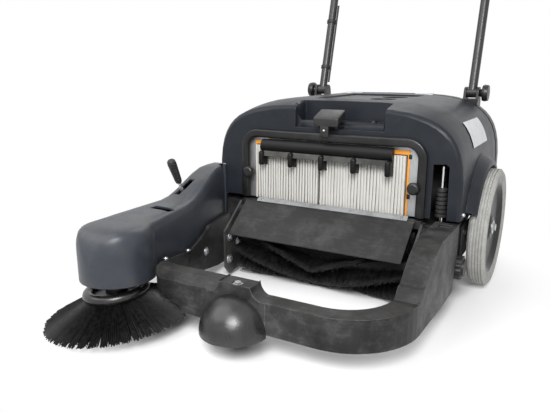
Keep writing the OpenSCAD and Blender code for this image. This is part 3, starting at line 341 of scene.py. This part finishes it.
plate_face = -0.244
bearing_spots = ((-0.262, 0.088), (-0.196, 0.088), (-0.229, 0.12), (-0.306, 0.05), (-0.3, 0.11))
bolts = bmesh.new()
for y, z in bearing_spots:
    hex_bolt(bolts, (plate_face, y, z), (1, 0, 0), across=0.013, high=0.006)
smoothed(piece("bearing_bolts", bolts, zinc, "chassis"), 30)
screws = bmesh.new()
hex_bolt(screws, (-0.265, -0.38, 0.089), way=(0.976, 0.216, 0), across=0.012, high=0.005)
hex_bolt(screws, (-0.2505, -0.47, 0.12), way=(0, 0, 1), across=0.007, high=0.003)
hex_bolt(screws, (-0.2271, -0.577, 0.1355), way=(0, 0.16, 0.99), across=0.007, high=0.003)
smoothed(piece("wall_screws", screws, zinc, "chassis"), 30)


# Folded steel side rails hang under the deck behind the frame's lugs, powder-coated and held by two bolts
# each. The front edge is folded inwards, and the lower rear corner is cut off to clear the axle bracket.
def block(shape, centre, size, turn=Matrix.Identity(4)):
    """Box of that size round a centre. Returns its corners."""
    matrix = Matrix.Translation(centre) @ turn @ Matrix.Diagonal((*size, 1))
    return bmesh.ops.create_cube(shape, size=1.0, matrix=matrix)["verts"]


rail_top, rail_low = 0.1838, 0.104
rail_front, rail_back = -0.1595, -0.052
rail_inset, rail_thick, rail_fold, rail_corner = 0.001, 0.004, 0.024, 0.04
rail_high, rail_middle = rail_top - rail_low, (rail_low + rail_top) / 2
rail_bolt_back, rail_bolt_down = (0.02, 0.062), 0.018
rail_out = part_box("deck")[1].x - rail_inset
for name, side in (("side_rail_left", -1), ("side_rail_right", 1)):
    web_x = side * (rail_out - rail_thick / 2)
    web_at = (web_x, (rail_front + rail_back) / 2, rail_middle)
    rail = bmesh.new()
    block(rail, web_at, (rail_thick, rail_back - rail_front, rail_high))
    web = rail.verts[:] + rail.edges[:] + rail.faces[:]
    bmesh.ops.bisect_plane(rail, geom=web, dist=1e-6, clear_outer=True,
                           plane_co=(0, rail_back - rail_corner, rail_low), plane_no=(0, 0.7, -0.7))
    bmesh.ops.holes_fill(rail, edges=rail.edges, sides=8)
    fold_at = (web_x - side * rail_fold / 2, rail_front + rail_thick / 2, rail_middle)
    block(rail, fold_at, (rail_fold, rail_thick, rail_high))
    for back in rail_bolt_back:
        bolt_at = (web_x + side * rail_thick / 2, rail_front + back, rail_top - rail_bolt_down)
        hex_bolt(rail, bolt_at, (side, 0, 0), across=0.011, high=0.005)
    piece(name, rail, black_steel, "chassis")


# The main broom: thousands of stiff black bristles in eight chevron rows on a plastic roll. Each strand is a
# three-sided taper that leans a little, and the rows meet in a V at the middle of the roll.
def of_kind(geom, kind):
    """The vertices, edges or faces among the geometry that an operator returns."""
    return [g for g in geom if isinstance(g, kind)]


def bristle(length, root, tip, sides=3, steps=2):
    """One strand along +Z from the origin, as a mesh that copies are stamped from."""
    shape = bmesh.new()
    made = bmesh.ops.create_circle(shape, cap_ends=True, segments=sides, radius=root)
    face = list({f for v in made["verts"] for f in v.link_faces})
    for step in range(steps):
        grown = bmesh.ops.extrude_face_region(shape, geom=face)["geom"]
        top = of_kind(grown, bmesh.types.BMVert)
        bmesh.ops.translate(shape, verts=top, vec=(0, 0, length / steps))
        before = root + (tip - root) * step / steps
        after = root + (tip - root) * (step + 1) / steps
        bmesh.ops.scale(shape, verts=top, vec=(after / before, after / before, 1))
        bmesh.ops.delete(shape, geom=face, context="FACES_ONLY")
        face = of_kind(grown, bmesh.types.BMFace)
    data = bpy.data.meshes.new("strand")
    bmesh.ops.recalc_face_normals(shape, faces=shape.faces)
    shape.to_mesh(data)
    shape.free()
    return data


def stamped(strand, places):
    """All the copies of a strand at the given matrices, in one bmesh."""
    shape = bmesh.new()
    for place in places:
        copy = strand.copy()
        copy.transform(place)
        shape.from_mesh(copy)
        bpy.data.meshes.remove(copy)
    return shape


def along(start, end, length):
    """Matrix that lays a strand of that length from start to end."""
    way = Vector(end) - Vector(start)
    turn = way.to_track_quat("Z", "Y").to_matrix().to_4x4()
    return Matrix.Translation(start) @ turn @ Matrix.Diagonal((1, 1, way.length / length, 1))


def hairy(name, colour, tip_colour, rough, centre, across, near, out):
    """Bristle plastic that pales between two distances from a centre, measured along the given axes."""
    def recipe(paint):
        place = paint.make("TexCoord", out="Object")
        tone = paint.noise(place, 130.0, 2.0).between(0.3, 0.75)
        dusty = paint.noise(place, 12.0, 5.0, 0.6).between(0.5, 0.75)
        offset = paint.make("VectorMath", {"operation": "SUBTRACT"}, {0: place, 1: centre})
        arm = paint.make("VectorMath", {"operation": "MULTIPLY"}, {0: offset, 1: across})
        tip = paint.make("VectorMath", {"operation": "LENGTH"}, {0: arm}, "Value").between(near, out)
        return {"Base Color": (tone * 0.3 + dusty * 0.2 + tip * 0.5).blend(colour, tip_colour),
                "Roughness": rough + tone * 0.15, "Specular IOR Level": 0.2}
    return coated(name, recipe)


broom_at = Vector((0, -0.229, 0.088))
row_count, row_strands, row_half = 8, 1080, 0.229
row_start, row_twist, twist_half = 19, 64, 0.232
root_r, tip_r, strand_length = 0.034, 0.0855, 0.05
roll_r, roll_length = 0.0375, 0.464
chance = random.Random(7)
broom_rows = []
for row in range(row_count):
    for station in range(row_strands):
        x = -row_half + 2 * row_half * (station + chance.random()) / row_strands
        chevron = row_start + row * 360 / row_count - row_twist * abs(x) / twist_half
        lean = math.radians(chevron + chance.gauss(0, 2.0))
        flare = lean + math.radians(chance.gauss(0, 1.4))
        reach = tip_r - abs(chance.gauss(0, 0.0012))
        tip_x = x + chance.gauss(0, 0.003)
        root = broom_at + Vector((x, root_r * math.cos(lean), root_r * math.sin(lean)))
        tip = broom_at + Vector((tip_x, reach * math.cos(flare), reach * math.sin(flare)))
        broom_rows.append(along(root, tip, strand_length))
broom_black = hairy("broom_bristle", (0.003, 0.003, 0.003), (0.055, 0.055, 0.0535), rough=0.36,
                    centre=broom_at, across=(0, 1, 1), near=0.066, out=0.088)
roll = stamped(bristle(strand_length, root=0.0012, tip=0.0008), broom_rows)
bmesh.ops.create_cone(roll, cap_ends=True, segments=48, radius1=roll_r, radius2=roll_r, depth=roll_length,
                      matrix=Matrix.Translation(broom_at) @ Matrix.Rotation(math.radians(90), 4, "Y"))
main_brush = piece("main_broom_bristles", roll, broom_black, "main_broom")
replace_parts(main_brush, "main_bristles")
black_plastic = moulding("black_moulding", (0.009, 0.009, 0.009), (0.024, 0.024, 0.024),
                         (0.05, 0.048, 0.042), dusty=0.2, rough=0.34, grain=1300.0, wear=0.4, shine=0.4)
dress(black_plastic, "broom_core")
dress(zinc, "broom_pulley", "motor_pulley")


# A rubber flap hangs over the broom's mouth, grey and streaked from handling. A zinc strip along its upper
# edge follows its slant and is held by four round rivets.
flap_rubber = rubbery("flap_rubber", (0.004, 0.004, 0.004), (0.054, 0.054, 0.0527), rough=0.44, grain=700.0)
dress(flap_rubber, "flap")
strip_zinc = plated("strip_zinc", (0.3, 0.305, 0.31), rough=0.5, grain=(3, 90, 90), marks=0.35)
strip_size = (0.408, 0.014, 0.0016)
strip_right, strip_up, strip_out = 0.009, 0.006, 0.0045
rivet_spots, rivet_r, rivet_sunk = (-0.19, -0.063, 0.063, 0.19), 0.004, 0.0008
flap_hinge = Vector((0, -0.239, 0.1999))
flap_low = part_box("flap")[0]
down_way = (Vector((0, flap_low.y, flap_low.z)) - flap_hinge).normalized()
out_way = Vector((0, down_way.z, -down_way.y))
strip_at = flap_hinge + Vector((strip_right, 0, 0)) - down_way * strip_up + out_way * strip_out
strip = bmesh.new()
block(strip, strip_at, strip_size, down_way.to_track_quat("Y", "Z").to_matrix().to_4x4())
for x in rivet_spots:
    rivet_at = strip_at + Vector((x, 0, 0)) - out_way * rivet_sunk
    bmesh.ops.create_uvsphere(strip, u_segments=16, v_segments=8, radius=rivet_r,
                              matrix=Matrix.Translation(rivet_at))
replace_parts(smoothed(piece("riveted_strip", strip, strip_zinc, "chassis"), 40), "flap_strip")


# The side broom: a glossy dished hub with a rolled rim, and a dense skirt of long black bristles set in a
# collar. The spindle leans so that the outer front of the skirt is lowest, and the tips are worn uneven.
def edges_of(corners):
    """The edges that meet at the given vertices."""
    return list({e for v in corners for e in v.link_edges})


spindle_at, spindle_lean, lean_axis = (-0.297, -0.652, 0), math.radians(6), Vector((0.5, -0.87, 0))
side_frame = Matrix.Translation(spindle_at) @ Matrix.Rotation(spindle_lean, 4, lean_axis)
tuft_count, tuft_strands, hair_length = 44, 100, 0.1
tuft_in, tuft_deep, tuft_z, crowding = 0.043, 0.021, 0.0665, 0.45
hem_in, hem_deep, hem_low, hem_rise = 0.112, 0.053, 0.0188, 0.004
skirt = []
for tuft in range(tuft_count):
    middle = tuft * 2 * math.pi / tuft_count
    for strand in range(tuft_strands):
        share = chance.random() ** crowding
        turn = middle + chance.gauss(0, 0.025)
        fan = middle + (turn - middle) * 1.15 + chance.gauss(0, 0.011)
        root_out = tuft_in + tuft_deep * share
        tip_out = hem_in + hem_deep * share - abs(chance.gauss(0, 0.0026))
        tip_z = hem_low + abs(chance.gauss(0, 0.0014)) + hem_rise * (1 - share)
        root = side_frame @ Vector((root_out * math.cos(turn), root_out * math.sin(turn), tuft_z))
        tip = side_frame @ Vector((tip_out * math.cos(fan), tip_out * math.sin(fan), tip_z))
        skirt.append(along(root, tip, hair_length))
skirt_shape = stamped(bristle(hair_length, root=0.00125, tip=0.0011), skirt)
collar_in, collar_out, collar_thick, collar_z = 0.041, 0.066, 0.004, 0.0652
ring = bmesh.ops.create_circle(skirt_shape, cap_ends=False, segments=64, radius=collar_in)["verts"]
grown = bmesh.ops.extrude_edge_only(skirt_shape, edges=edges_of(ring))["geom"]
outer = of_kind(grown, bmesh.types.BMVert)
bmesh.ops.scale(skirt_shape, verts=outer, vec=(collar_out / collar_in, collar_out / collar_in, 1))
band = list({f for v in outer for f in v.link_faces})
bmesh.ops.solidify(skirt_shape, geom=band, thickness=collar_thick)
collar = [v for v in skirt_shape.verts if v.co.length < 2 * collar_out]
bmesh.ops.transform(skirt_shape, matrix=side_frame @ Matrix.Translation((0, 0, collar_z)), verts=collar)
skirt_black = hairy("skirt_bristle", (0.003, 0.003, 0.003), (0.022, 0.022, 0.0213), rough=0.42,
                    centre=side_frame @ Vector((0, 0, 0.05)), across=(1, 1, 1), near=0.12, out=0.165)
side_skirt = piece("side_broom_bristles", skirt_shape, skirt_black, "side_broom")
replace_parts(side_skirt, "side_bristles")


def glossy(name, colour, rough, coat=0.0, metal=0.0):
    """Smooth plastic or bright metal with faint smears."""
    def recipe(paint):
        place = paint.make("TexCoord", out="Object")
        smear = paint.noise(place, 22.0, 5.0, 0.6).between(0.4, 0.75)
        relief = paint.noise(place, 700.0, 2.0) * 0.5 + smear * 0.5
        return {"Base Color": (smear * 0.5).blend(colour, tuple(2.2 * c + 0.01 for c in colour)),
                "Metallic": metal, "Roughness": rough + smear * 0.14,
                "Coat Weight": coat, "Coat Roughness": 0.2,
                "Normal": eased(paint, 0.0012, relief, 0.08, 0.0004)}
    return coated(name, recipe)


hub_gloss = glossy("hub_gloss", (0.007, 0.007, 0.007), rough=0.3, coat=0.2)
dress(hub_gloss, "side_hub")
rim_out, rim_z, rim_r = 0.061, 0.0742, 0.0118
hub_ring = bmesh.new()
hoop_at = Matrix.Translation((rim_out, 0, rim_z)) @ Matrix.Rotation(math.radians(90), 4, "X")
hoop = bmesh.ops.create_circle(hub_ring, cap_ends=False, segments=20, radius=rim_r, matrix=hoop_at)
bmesh.ops.spin(hub_ring, geom=hoop["verts"] + list(hub_ring.edges), cent=(0, 0, 0), axis=(0, 0, 1),
               dvec=(0, 0, 0), angle=2 * math.pi, steps=72, use_merge=True, use_duplicate=False)
bmesh.ops.transform(hub_ring, matrix=side_frame, verts=hub_ring.verts)
smoothed(piece("hub_ring", hub_ring, hub_gloss, "side_broom"), 60)
dress(black_plastic, "side_motor")


# The side broom's cover is a hollow blue-grey moulding with a drum-shaped nose that sweeps up to the hood.
# Its facets are merged and shaded smooth, apart from the crease where the side wall leaves the nose. A
# narrow lip finishes its rear edge, and a steel flange runs on along the deck's.
def skinned(node, material, sharp, crease=None):
    """Smooth-shaded copy of a CAD shell, standing for it. Edges where crease(place) holds stay sharp."""
    shape = bmesh.new()
    shape.from_mesh(frame["nodes"][node].data)
    bmesh.ops.remove_doubles(shape, verts=shape.verts, dist=2e-6)
    data = bpy.data.meshes.new(node + "_skin")
    shape.to_mesh(data)
    shape.free()
    data.materials.clear()
    data.materials.append(material)
    thing = bpy.data.objects.new(node + "_skin", data)
    scene.collection.objects.link(thing)
    smoothed(thing, sharp)
    if crease:
        for edge in data.edges:
            if all(crease(data.vertices[v].co) for v in edge.vertices):
                edge.use_edge_sharp = True
    even = thing.modifiers.new("even_shading", "WEIGHTED_NORMAL")
    even.keep_sharp = True
    body = next(b for b, members in frame["record"]["behaviour"]["bodies"].items() if node in members)
    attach(thing, body)
    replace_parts(thing, node)


cover_blue = moulding("cover_moulding", (0.026, 0.0305, 0.0395), (0.039, 0.0443, 0.055),
                      (0.13, 0.125, 0.115), dusty=0.34, rough=0.35, grain=1000.0, wear=0.35, shine=0.42)
crease_y, crease_x = -0.599, -0.25
skinned("side_cover", cover_blue, 30,
        lambda place: abs(place.y - crease_y) < 0.0004 and place.x > crease_x)
lip_at, lip_size = (-0.3115, -0.2227, 0.2207), (0.008, 0.007, 0.138)
lip = bmesh.new()
block(lip, lip_at, lip_size)
piece("cover_lip", lip, cover_blue, "chassis")
flange_at, flange_size = (-0.3125, -0.16, 0.1993), (0.003, 0.118, 0.0136)
flange = bmesh.new()
block(flange, flange_at, flange_size)
piece("deck_flange", flange, black_steel, "chassis")


# The lever that lifts the side broom is a bright plated rod that comes up through the cover's slot. A grip
# of black rubber with fine ribs is pushed over its end.
grip_pitch = 0.007


def ribbed_grip(paint):
    place = paint.make("TexCoord", out="Object")
    rib = paint.make("TexWave", {"wave_type": "BANDS", "bands_direction": "Z", "wave_profile": "SIN"},
                     {"Vector": place, "Scale": 0.05 / grip_pitch * 6.28, "Distortion": 0.0}, "Fac")
    wear = paint.noise(place, 60.0, 4.0).between(0.4, 0.75)
    return {"Base Color": (wear * 0.5).blend((0.014, 0.014, 0.014), (0.038, 0.038, 0.038)),
            "Roughness": 0.55, "Specular IOR Level": 0.4, "Normal": eased(paint, 0.001, rib, 0.6, 0.0012)}


dress(glossy("chrome_rod", (0.8, 0.8, 0.8), rough=0.3, metal=1.0), "side_lever")
dress(coated("grip_rubber", ribbed_grip), "lever_grip")


# The rear wheels have light grey non-marking tyres with ground-in dirt, on dished black plastic rims. They
# turn on a plain steel axle, and a bolt in the hub keeps each on.
def tread(paint):
    place = paint.make("TexCoord", out="Object")
    dirt = paint.noise(place, 35.0, 7.0, 0.7).between(0.4, 0.7)
    speck = paint.noise(place, 260.0, 3.0).between(0.45, 0.68)
    patch = paint.noise(place, 7.0, 4.0).between(0.4, 0.7)
    base = (dirt * 0.4 + speck * 0.35).blend((0.4, 0.4, 0.385), (0.19, 0.186, 0.174))
    relief = speck * 0.6 + dirt * 0.4
    return {"Base Color": (patch * 0.25).blend(base, (0.33, 0.32, 0.295)), "Roughness": 0.72 + dirt * 0.15,
            "Specular IOR Level": 0.3, "Normal": eased(paint, 0.0015, relief, 0.35, 0.001)}


dress(coated("grey_tyre", tread), "left_tyre", "right_tyre")
dress(black_plastic, "left_rim", "right_rim")
dress(zinc, "rear_axle", "hub_bolts")


# Under the hood stand two sealed batteries in black cases and the moulded housing of the suction fan. The
# drive motor and the shaker's are painted grey, and a rubber belt runs to the broom's pulley.
dress(black_plastic, "batteries", "fan_housing")
motor_grey = powder("motor_grey", (0.2, 0.2, 0.21), (0.28, 0.28, 0.28), rough=0.4)
dress(motor_grey, "drive_motor", "shaker_motor")
belt_rubber = rubbery("belt_rubber", (0.014, 0.014, 0.014), (0.03, 0.03, 0.03), rough=0.6, grain=600.0)
dress(belt_rubber, "drive_belt")


# The hood and the fixed rear housing are thin blue-grey mouldings of one plastic, joined by two zinc hinges.
# The plastic is painted darker than the side cover's as shade, with a soft satin and a little dust on the
# crown.
# Painted shade: this is the side cover's blue-grey, set darker to match the hood's shaded faces.
hood_blue_shaded = moulding("hood_moulding_shaded", (0.0118, 0.0141, 0.0187), (0.02, 0.0232, 0.0295), (0.06, 0.06, 0.058),
                     dusty=0.16, rough=0.36, grain=1000.0, wear=0.25, shine=0.2)
skinned("hood", hood_blue_shaded, 17)
skinned("wheel_arches", hood_blue_shaded, 30)
skinned("rear_housing", hood_blue_shaded, 30)
dress(zinc, "hood_hinge", "rear_hinge")


# A bare plate of pale foil sits on the hood's right shoulder. It is bent to the shoulder's curve, which falls
# away towards the front, and glued on.
hood_half, hood_foot = 0.328, 0.21
crown_top, crown_drop, drop_from, drop_over = 0.472, 0.018, -0.1, 0.122
plate_y, plate_half_y = -0.003, 0.086
plate_z, plate_half_z = 0.3895, 0.0295
plate_off, plate_up, plate_thick = 0.0012, 0.0008, 0.0006


def shoulder(y, z):
    """How far out the hood's side lies at that place."""
    crown = crown_top - crown_drop * min(1, max(0, (drop_from - y) / drop_over)) ** 2
    return hood_half * max(0.0, 1 - ((z - hood_foot) / (crown - hood_foot)) ** 4) ** 0.25


plate = bmesh.new()
bmesh.ops.create_grid(plate, x_segments=12, y_segments=10, size=1.0)
for corner in plate.verts:
    y = plate_y + plate_half_y * corner.co.x
    z = plate_z - plate_half_z * corner.co.y
    corner.co = (shoulder(y, z) + plate_off, y, z + plate_up)
bmesh.ops.recalc_face_normals(plate, faces=plate.faces)
bmesh.ops.solidify(plate, geom=list(plate.faces), thickness=plate_thick)


def plate_foil(paint):
    place = paint.make("TexCoord", out="Object")
    stain = paint.noise(place, 40.0, 5.0).between(0.4, 0.75)
    fine = paint.noise(place, 900.0, 2.0)
    return {"Base Color": (stain * 0.5).blend((0.62, 0.63, 0.64), (0.5, 0.5, 0.5)),
            "Roughness": 0.32 + stain * 0.1, "Normal": eased(paint, 0.0004, fine, 0.05, 0.0002)}


smoothed(piece("bare_plate", plate, coated("plate_foil", plate_foil), "hood_body"), 40)


# The hopper seal is a soft black rubber tube with flattened sides. It is glued to the hood's face and runs
# up one side, over the filter and down the other. Behind it lies the zinc plate that carries the filter.
def squared(share):
    """A circle's coordinate pushed outwards, so that the tube's sides are flattened."""
    return math.copysign(abs(share) ** 0.6, share)


seal_low, seal_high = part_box("filter_seal")
seal_wide, seal_thick, seal_bend = 0.021, seal_high.y - seal_low.y, 0.0375
seal_sag, foot_gap, leg_end = 0.0012 * math.sin(math.pi / 3), 0.0001, 0.01
seal_y, bend_steps = (seal_low.y + seal_high.y) / 2, 12
leg_x, top_z = seal_high.x - seal_wide / 2, seal_high.z - seal_wide / 2
route = [(leg_x, seal_low.z + foot_gap, 0), (leg_x, top_z - seal_bend - leg_end, 0)]
for step in range(bend_steps + 1):
    turn = step * math.pi / 2 / bend_steps
    bend_x = leg_x - seal_bend + seal_bend * math.cos(turn)
    route.append((bend_x, top_z - seal_bend + seal_bend * math.sin(turn), turn))
route += [(leg_x * share, top_z - seal_sag, math.pi / 2) for share in (0.5, 0.25)]
route += [(-x, z, math.pi - turn) for x, z, turn in route[::-1]]
posts = [Matrix.Translation((x, seal_y, z)) @ Matrix.Rotation(-turn, 4, "Y") for x, z, turn in route]
tube = bmesh.new()
bmesh.ops.create_circle(tube, cap_ends=False, segments=24, radius=1.0)
for corner in tube.verts:
    corner.co = (squared(corner.co.x) * seal_wide / 2, squared(corner.co.y) * seal_thick / 2, 0)
bmesh.ops.transform(tube, matrix=posts[0], verts=tube.verts)
rim = list(tube.edges)
for before, after in zip(posts, posts[1:]):
    grown = bmesh.ops.extrude_edge_only(tube, edges=rim)["geom"]
    bmesh.ops.transform(tube, matrix=after @ before.inverted(), verts=of_kind(grown, bmesh.types.BMVert))
    rim = of_kind(grown, bmesh.types.BMEdge)
bmesh.ops.holes_fill(tube, edges=tube.edges, sides=24)
seal_rubber = rubbery("seal_rubber", (0.006, 0.006, 0.006), (0.022, 0.022, 0.022), rough=0.28, grain=600.0)
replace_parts(smoothed(piece("seal_tube", tube, seal_rubber, "hood_body"), 50), "filter_seal")
plate_zinc = plated("filter_plate_zinc", (0.45, 0.46, 0.47), rough=0.45, grain=(60, 60, 4), marks=0.3)
dress(plate_zinc, "filter_plate")


# The filter's frame is an orange moulding round three sides of the paper pack. Two small black clips on its
# right side lock it to the zinc plate.
def frame_orange(paint):
    place = paint.make("TexCoord", out="Object")
    stain = paint.noise(place, 30.0, 5.0).between(0.42, 0.75)
    return {"Base Color": (stain * 0.5).blend((0.87, 0.34, 0.035), (0.6, 0.22, 0.04)),
            "Roughness": 0.45 + stain * 0.15,
            "Normal": eased(paint, 0.0012, paint.noise(place, 900.0, 2.0), 0.12, 0.0004)}


def rounded(shape, corners, radius, segments):
    """Rounds all the edges that meet at the given corners."""
    bmesh.ops.bevel(shape, geom=edges_of(corners), offset=radius, offset_type="OFFSET", affect="EDGES",
                    segments=segments, profile=0.5, material=-1, clamp_overlap=True)


dress(coated("orange_frame", frame_orange), "filter_frame")
rim_low, rim_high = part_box("filter_frame")
clip_heights, clip_right, clip_back = (0.254, 0.348), 0.001, 0.002
clip_size, clip_round = (0.008, 0.006, 0.011), 0.001
clips = bmesh.new()
for z in clip_heights:
    clip_at = (rim_high.x + clip_right, rim_low.y + clip_back, z)
    rounded(clips, block(clips, clip_at, clip_size), clip_round, 2)
smoothed(piece("filter_clips", clips, black_plastic, "hood_body"), 35)


# The filter is a strip of off-white paper folded into upright pleats, in two packs with a narrow gap between
# them. No two folds lean alike, the paper darkens towards the feet, and painted shade darkens the valleys.
pleat_low, pleat_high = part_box("filter_pleats")
gap_left, gap_right = -0.0235, -0.0195
left_folds, right_folds, paper_thick = 24, 28, 0.0005
fold_places, fold_nose, fold_back, paper_ends = (0.04, 0.16, 0.5, 0.84), 0.0012, 0.006, 0.0006
fold_waver, edge_waver, foot_waver = 0.0006, 0.0005, 0.0012
pack = bmesh.new()
for left, right, folds in ((pleat_low.x, gap_left, left_folds), (gap_right, pleat_high.x, right_folds)):
    columns = 4 * folds
    pitch = (right - left) / folds
    for corner in bmesh.ops.create_grid(pack, x_segments=columns, y_segments=6, size=0.5)["verts"]:
        column = round((corner.co.x + 0.5) * columns)
        fold, step = divmod(column, 4)
        high = corner.co.y + 0.5
        lean = math.sin(fold * 12.9898) * fold_waver + edge_waver * math.sin(3 * high + fold)
        x = left + pitch * (fold + fold_places[step]) + (lean if 0 < column < columns else 0)
        front = pleat_low.y + fold_waver * (1 + math.sin(fold * 4.1)) + edge_waver * math.sin(7 * high + fold)
        depth = (pleat_high.y - fold_back, front + fold_nose, front, front + fold_nose)[step]
        foot = foot_waver * (1 + math.sin(fold * 7.7)) * (1 - high)
        z = pleat_low.z + paper_ends + foot + (pleat_high.z - pleat_low.z - 2 * paper_ends) * high
        corner.co = (min(x, right), depth, z)
bmesh.ops.recalc_face_normals(pack, faces=pack.faces)
bmesh.ops.solidify(pack, geom=list(pack.faces), thickness=paper_thick)


def filter_paper(paint):
    place = paint.make("TexCoord", out="Object")
    ridge_y, valley_y = pleat_low.y + 0.0015, pleat_low.y + 0.014
    # Painted shade: the paper darkens from the ridges back into the valleys between the folds.
    valley_shade = paint.make("SeparateXYZ", None, {0: place}, "Y").between(ridge_y, valley_y)
    foot = paint.make("SeparateXYZ", None, {0: place}, "Z").between(pleat_low.z + 0.03, pleat_low.z)
    fibre = paint.noise(paint.stretched(place, (1, 1, 0.3)), 300.0, 3.0)
    grime = paint.noise(place, 24.0, 6.0, 0.65).between(0.42, 0.75)
    clean = (grime * 0.25 + foot * 0.2).blend((0.57, 0.562, 0.532), (0.39, 0.367, 0.32))
    return {"Base Color": (valley_shade * 0.8).blend(clean, (0.12, 0.115, 0.1)), "Roughness": 0.88,
            "Specular IOR Level": 0.2,
            "Normal": paint.make("Bump", None, {"Height": fibre, "Strength": 0.2, "Distance": 0.0004})}


pleats = piece("filter_pleat_pack", pack, coated("filter_paper", filter_paper), "hood_body")
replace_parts(pleats, "filter_pleats")


# The shaker bar knocks the dust out of the pleats. Under the black moulded bar a slanted shelf and five
# rounded hooks press on the folds, and the shelf is grey with dust.
shaker_black = moulding("shaker_moulding", (0.004, 0.004, 0.004), (0.01, 0.01, 0.01), (0.03, 0.029, 0.027),
                        dusty=0.15, rough=0.42, grain=1200.0, wear=0.2, shine=0.2)
shelf_grey = moulding("shelf_moulding", (0.02, 0.02, 0.019), (0.05, 0.05, 0.048), (0.16, 0.156, 0.14),
                      dusty=0.7, rough=0.45, grain=1200.0, wear=0.3, shine=0.2)
dress(shaker_black, "shaker_bar")
bar_low, bar_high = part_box("shaker_bar")
bar_length, bar_radius = bar_high.x - bar_low.x, bar_high.y - bar_low.y
bar_x, bar_z = (bar_low.x + bar_high.x) / 2, bar_high.z - bar_radius
shelf_deep, shelf_high, shelf_flare, shelf_short = 0.012, 0.012, 0.006, 0.008
hook_count, hook_drop, hook_clear = 5, 0.03, 0.001
hook_wide, hook_deep, hook_high, hook_round = 0.0135, 0.028, 0.037, 0.0055
shelf_at = Vector((bar_x, bar_low.y + shelf_deep / 2, bar_z - 1.5 * shelf_high))
shelf = bmesh.new()
corners = block(shelf, shelf_at, (bar_length - shelf_short, shelf_deep, shelf_high))
low_edge = [v for v in corners if v.co.y < shelf_at.y and v.co.z < shelf_at.z]
bmesh.ops.translate(shelf, verts=low_edge, vec=(0, -shelf_flare, 0))
piece("shaker_shelf", shelf, shelf_grey, "hood_body")
hooks = bmesh.new()
for hook in range(hook_count):
    x = bar_low.x + hook_wide / 2 + hook * (bar_length - hook_wide) / (hook_count - 1)
    hook_at = (x, bar_high.y - hook_deep / 2 - hook_clear, bar_z - hook_drop)
    rounded(hooks, block(hooks, hook_at, (hook_wide, hook_deep, hook_high)), hook_round, 3)
smoothed(piece("shaker_hooks", hooks, shaker_black, "hood_body"), 35)


# Two black knobs clamp the filter, and a sprung latch holds the hopper. The latch is a moulded grip that
# slopes down to the front, over a tab that hooks behind the hopper's rim.
dress(black_plastic, "filter_knob_left", "filter_knob_right", "latch_bracket")
grip_at, grip_size, grip_round = Vector((0.003, -0.2262, 0.4305)), (0.066, 0.046, 0.036), 0.0035
tab_at, tab_size, tab_round = (0, -0.2462, 0.3985), (0.022, 0.005, 0.028), 0.0015
latch = bmesh.new()
corners = block(latch, grip_at, grip_size)
for front, top, rise in ((True, False, -0.004), (True, True, -0.018), (False, False, 0.02)):
    moved = [v for v in corners if (v.co.y < grip_at.y) == front and (v.co.z > grip_at.z) == top]
    bmesh.ops.translate(latch, verts=moved, vec=(0, 0, rise))
rounded(latch, corners, grip_round, 3)
rounded(latch, block(latch, tab_at, tab_size), tab_round, 2)
latch_black = moulding("latch_moulding", (0.008, 0.008, 0.008), (0.03, 0.03, 0.029), (0.05, 0.048, 0.042),
                       dusty=0.5, rough=0.34, grain=1200.0, wear=0.5, shine=0.45)
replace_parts(smoothed(piece("latch_box", latch, latch_black, "latch"), 35), "latch_paddle")


# Two round heads of bright zinc: the rivet in the latch's tab, and the screw at the hood's lower right
# corner. Each is a ball sunk in the face that it holds.
for name, place, size, body in (("latch_rivet", (0, -0.2487, 0.4), 0.0034, "latch"),
                                ("hood_screws", (0.3292, -0.199, 0.222), 0.0048, "hood_body")):
    head = bmesh.new()
    bmesh.ops.create_uvsphere(head, u_segments=16, v_segments=8, radius=size,
                              matrix=Matrix.Translation(place))
    smoothed(piece(name, head, zinc, body), 60)


# The rod that lifts the broom is bright steel. It stands on the deck behind the slot in the hood's front, and
# a ribbed rubber boot round its lower half keeps the dust out.
dress(glossy("lift_rod_steel", (0.6, 0.6, 0.6), rough=0.16, metal=1.0), "lift_rod")
boot_rubber = rubbery("boot_rubber", (0.015, 0.015, 0.015), (0.035, 0.035, 0.034), rough=0.5, grain=600.0)
dress(boot_rubber, "lift_boot")


# The handle is a bent steel tube, powder-coated black, that tilts between two plastic brackets and is held by
# two knobs. It carries a foam grip, the drive bail and the bail's cable in clips.
tube_black = powder("handle_powder_coat", (0.012, 0.012, 0.012), (0.028, 0.028, 0.028), rough=0.3)
dress(tube_black, "handle_tube", "drive_bail")
dress(black_plastic, "handle_brackets", "handle_knob_left", "handle_knob_right", "adjust_knob")
grip_foam = rubbery("grip_foam", (0.015, 0.015, 0.015), (0.03, 0.03, 0.03), rough=0.75, grain=900.0)
dress(grip_foam, "handle_grip")
jacket = rubbery("cable_jacket", (0.012, 0.012, 0.012), (0.025, 0.025, 0.025), rough=0.45, grain=700.0)
dress(jacket, "drive_cable")
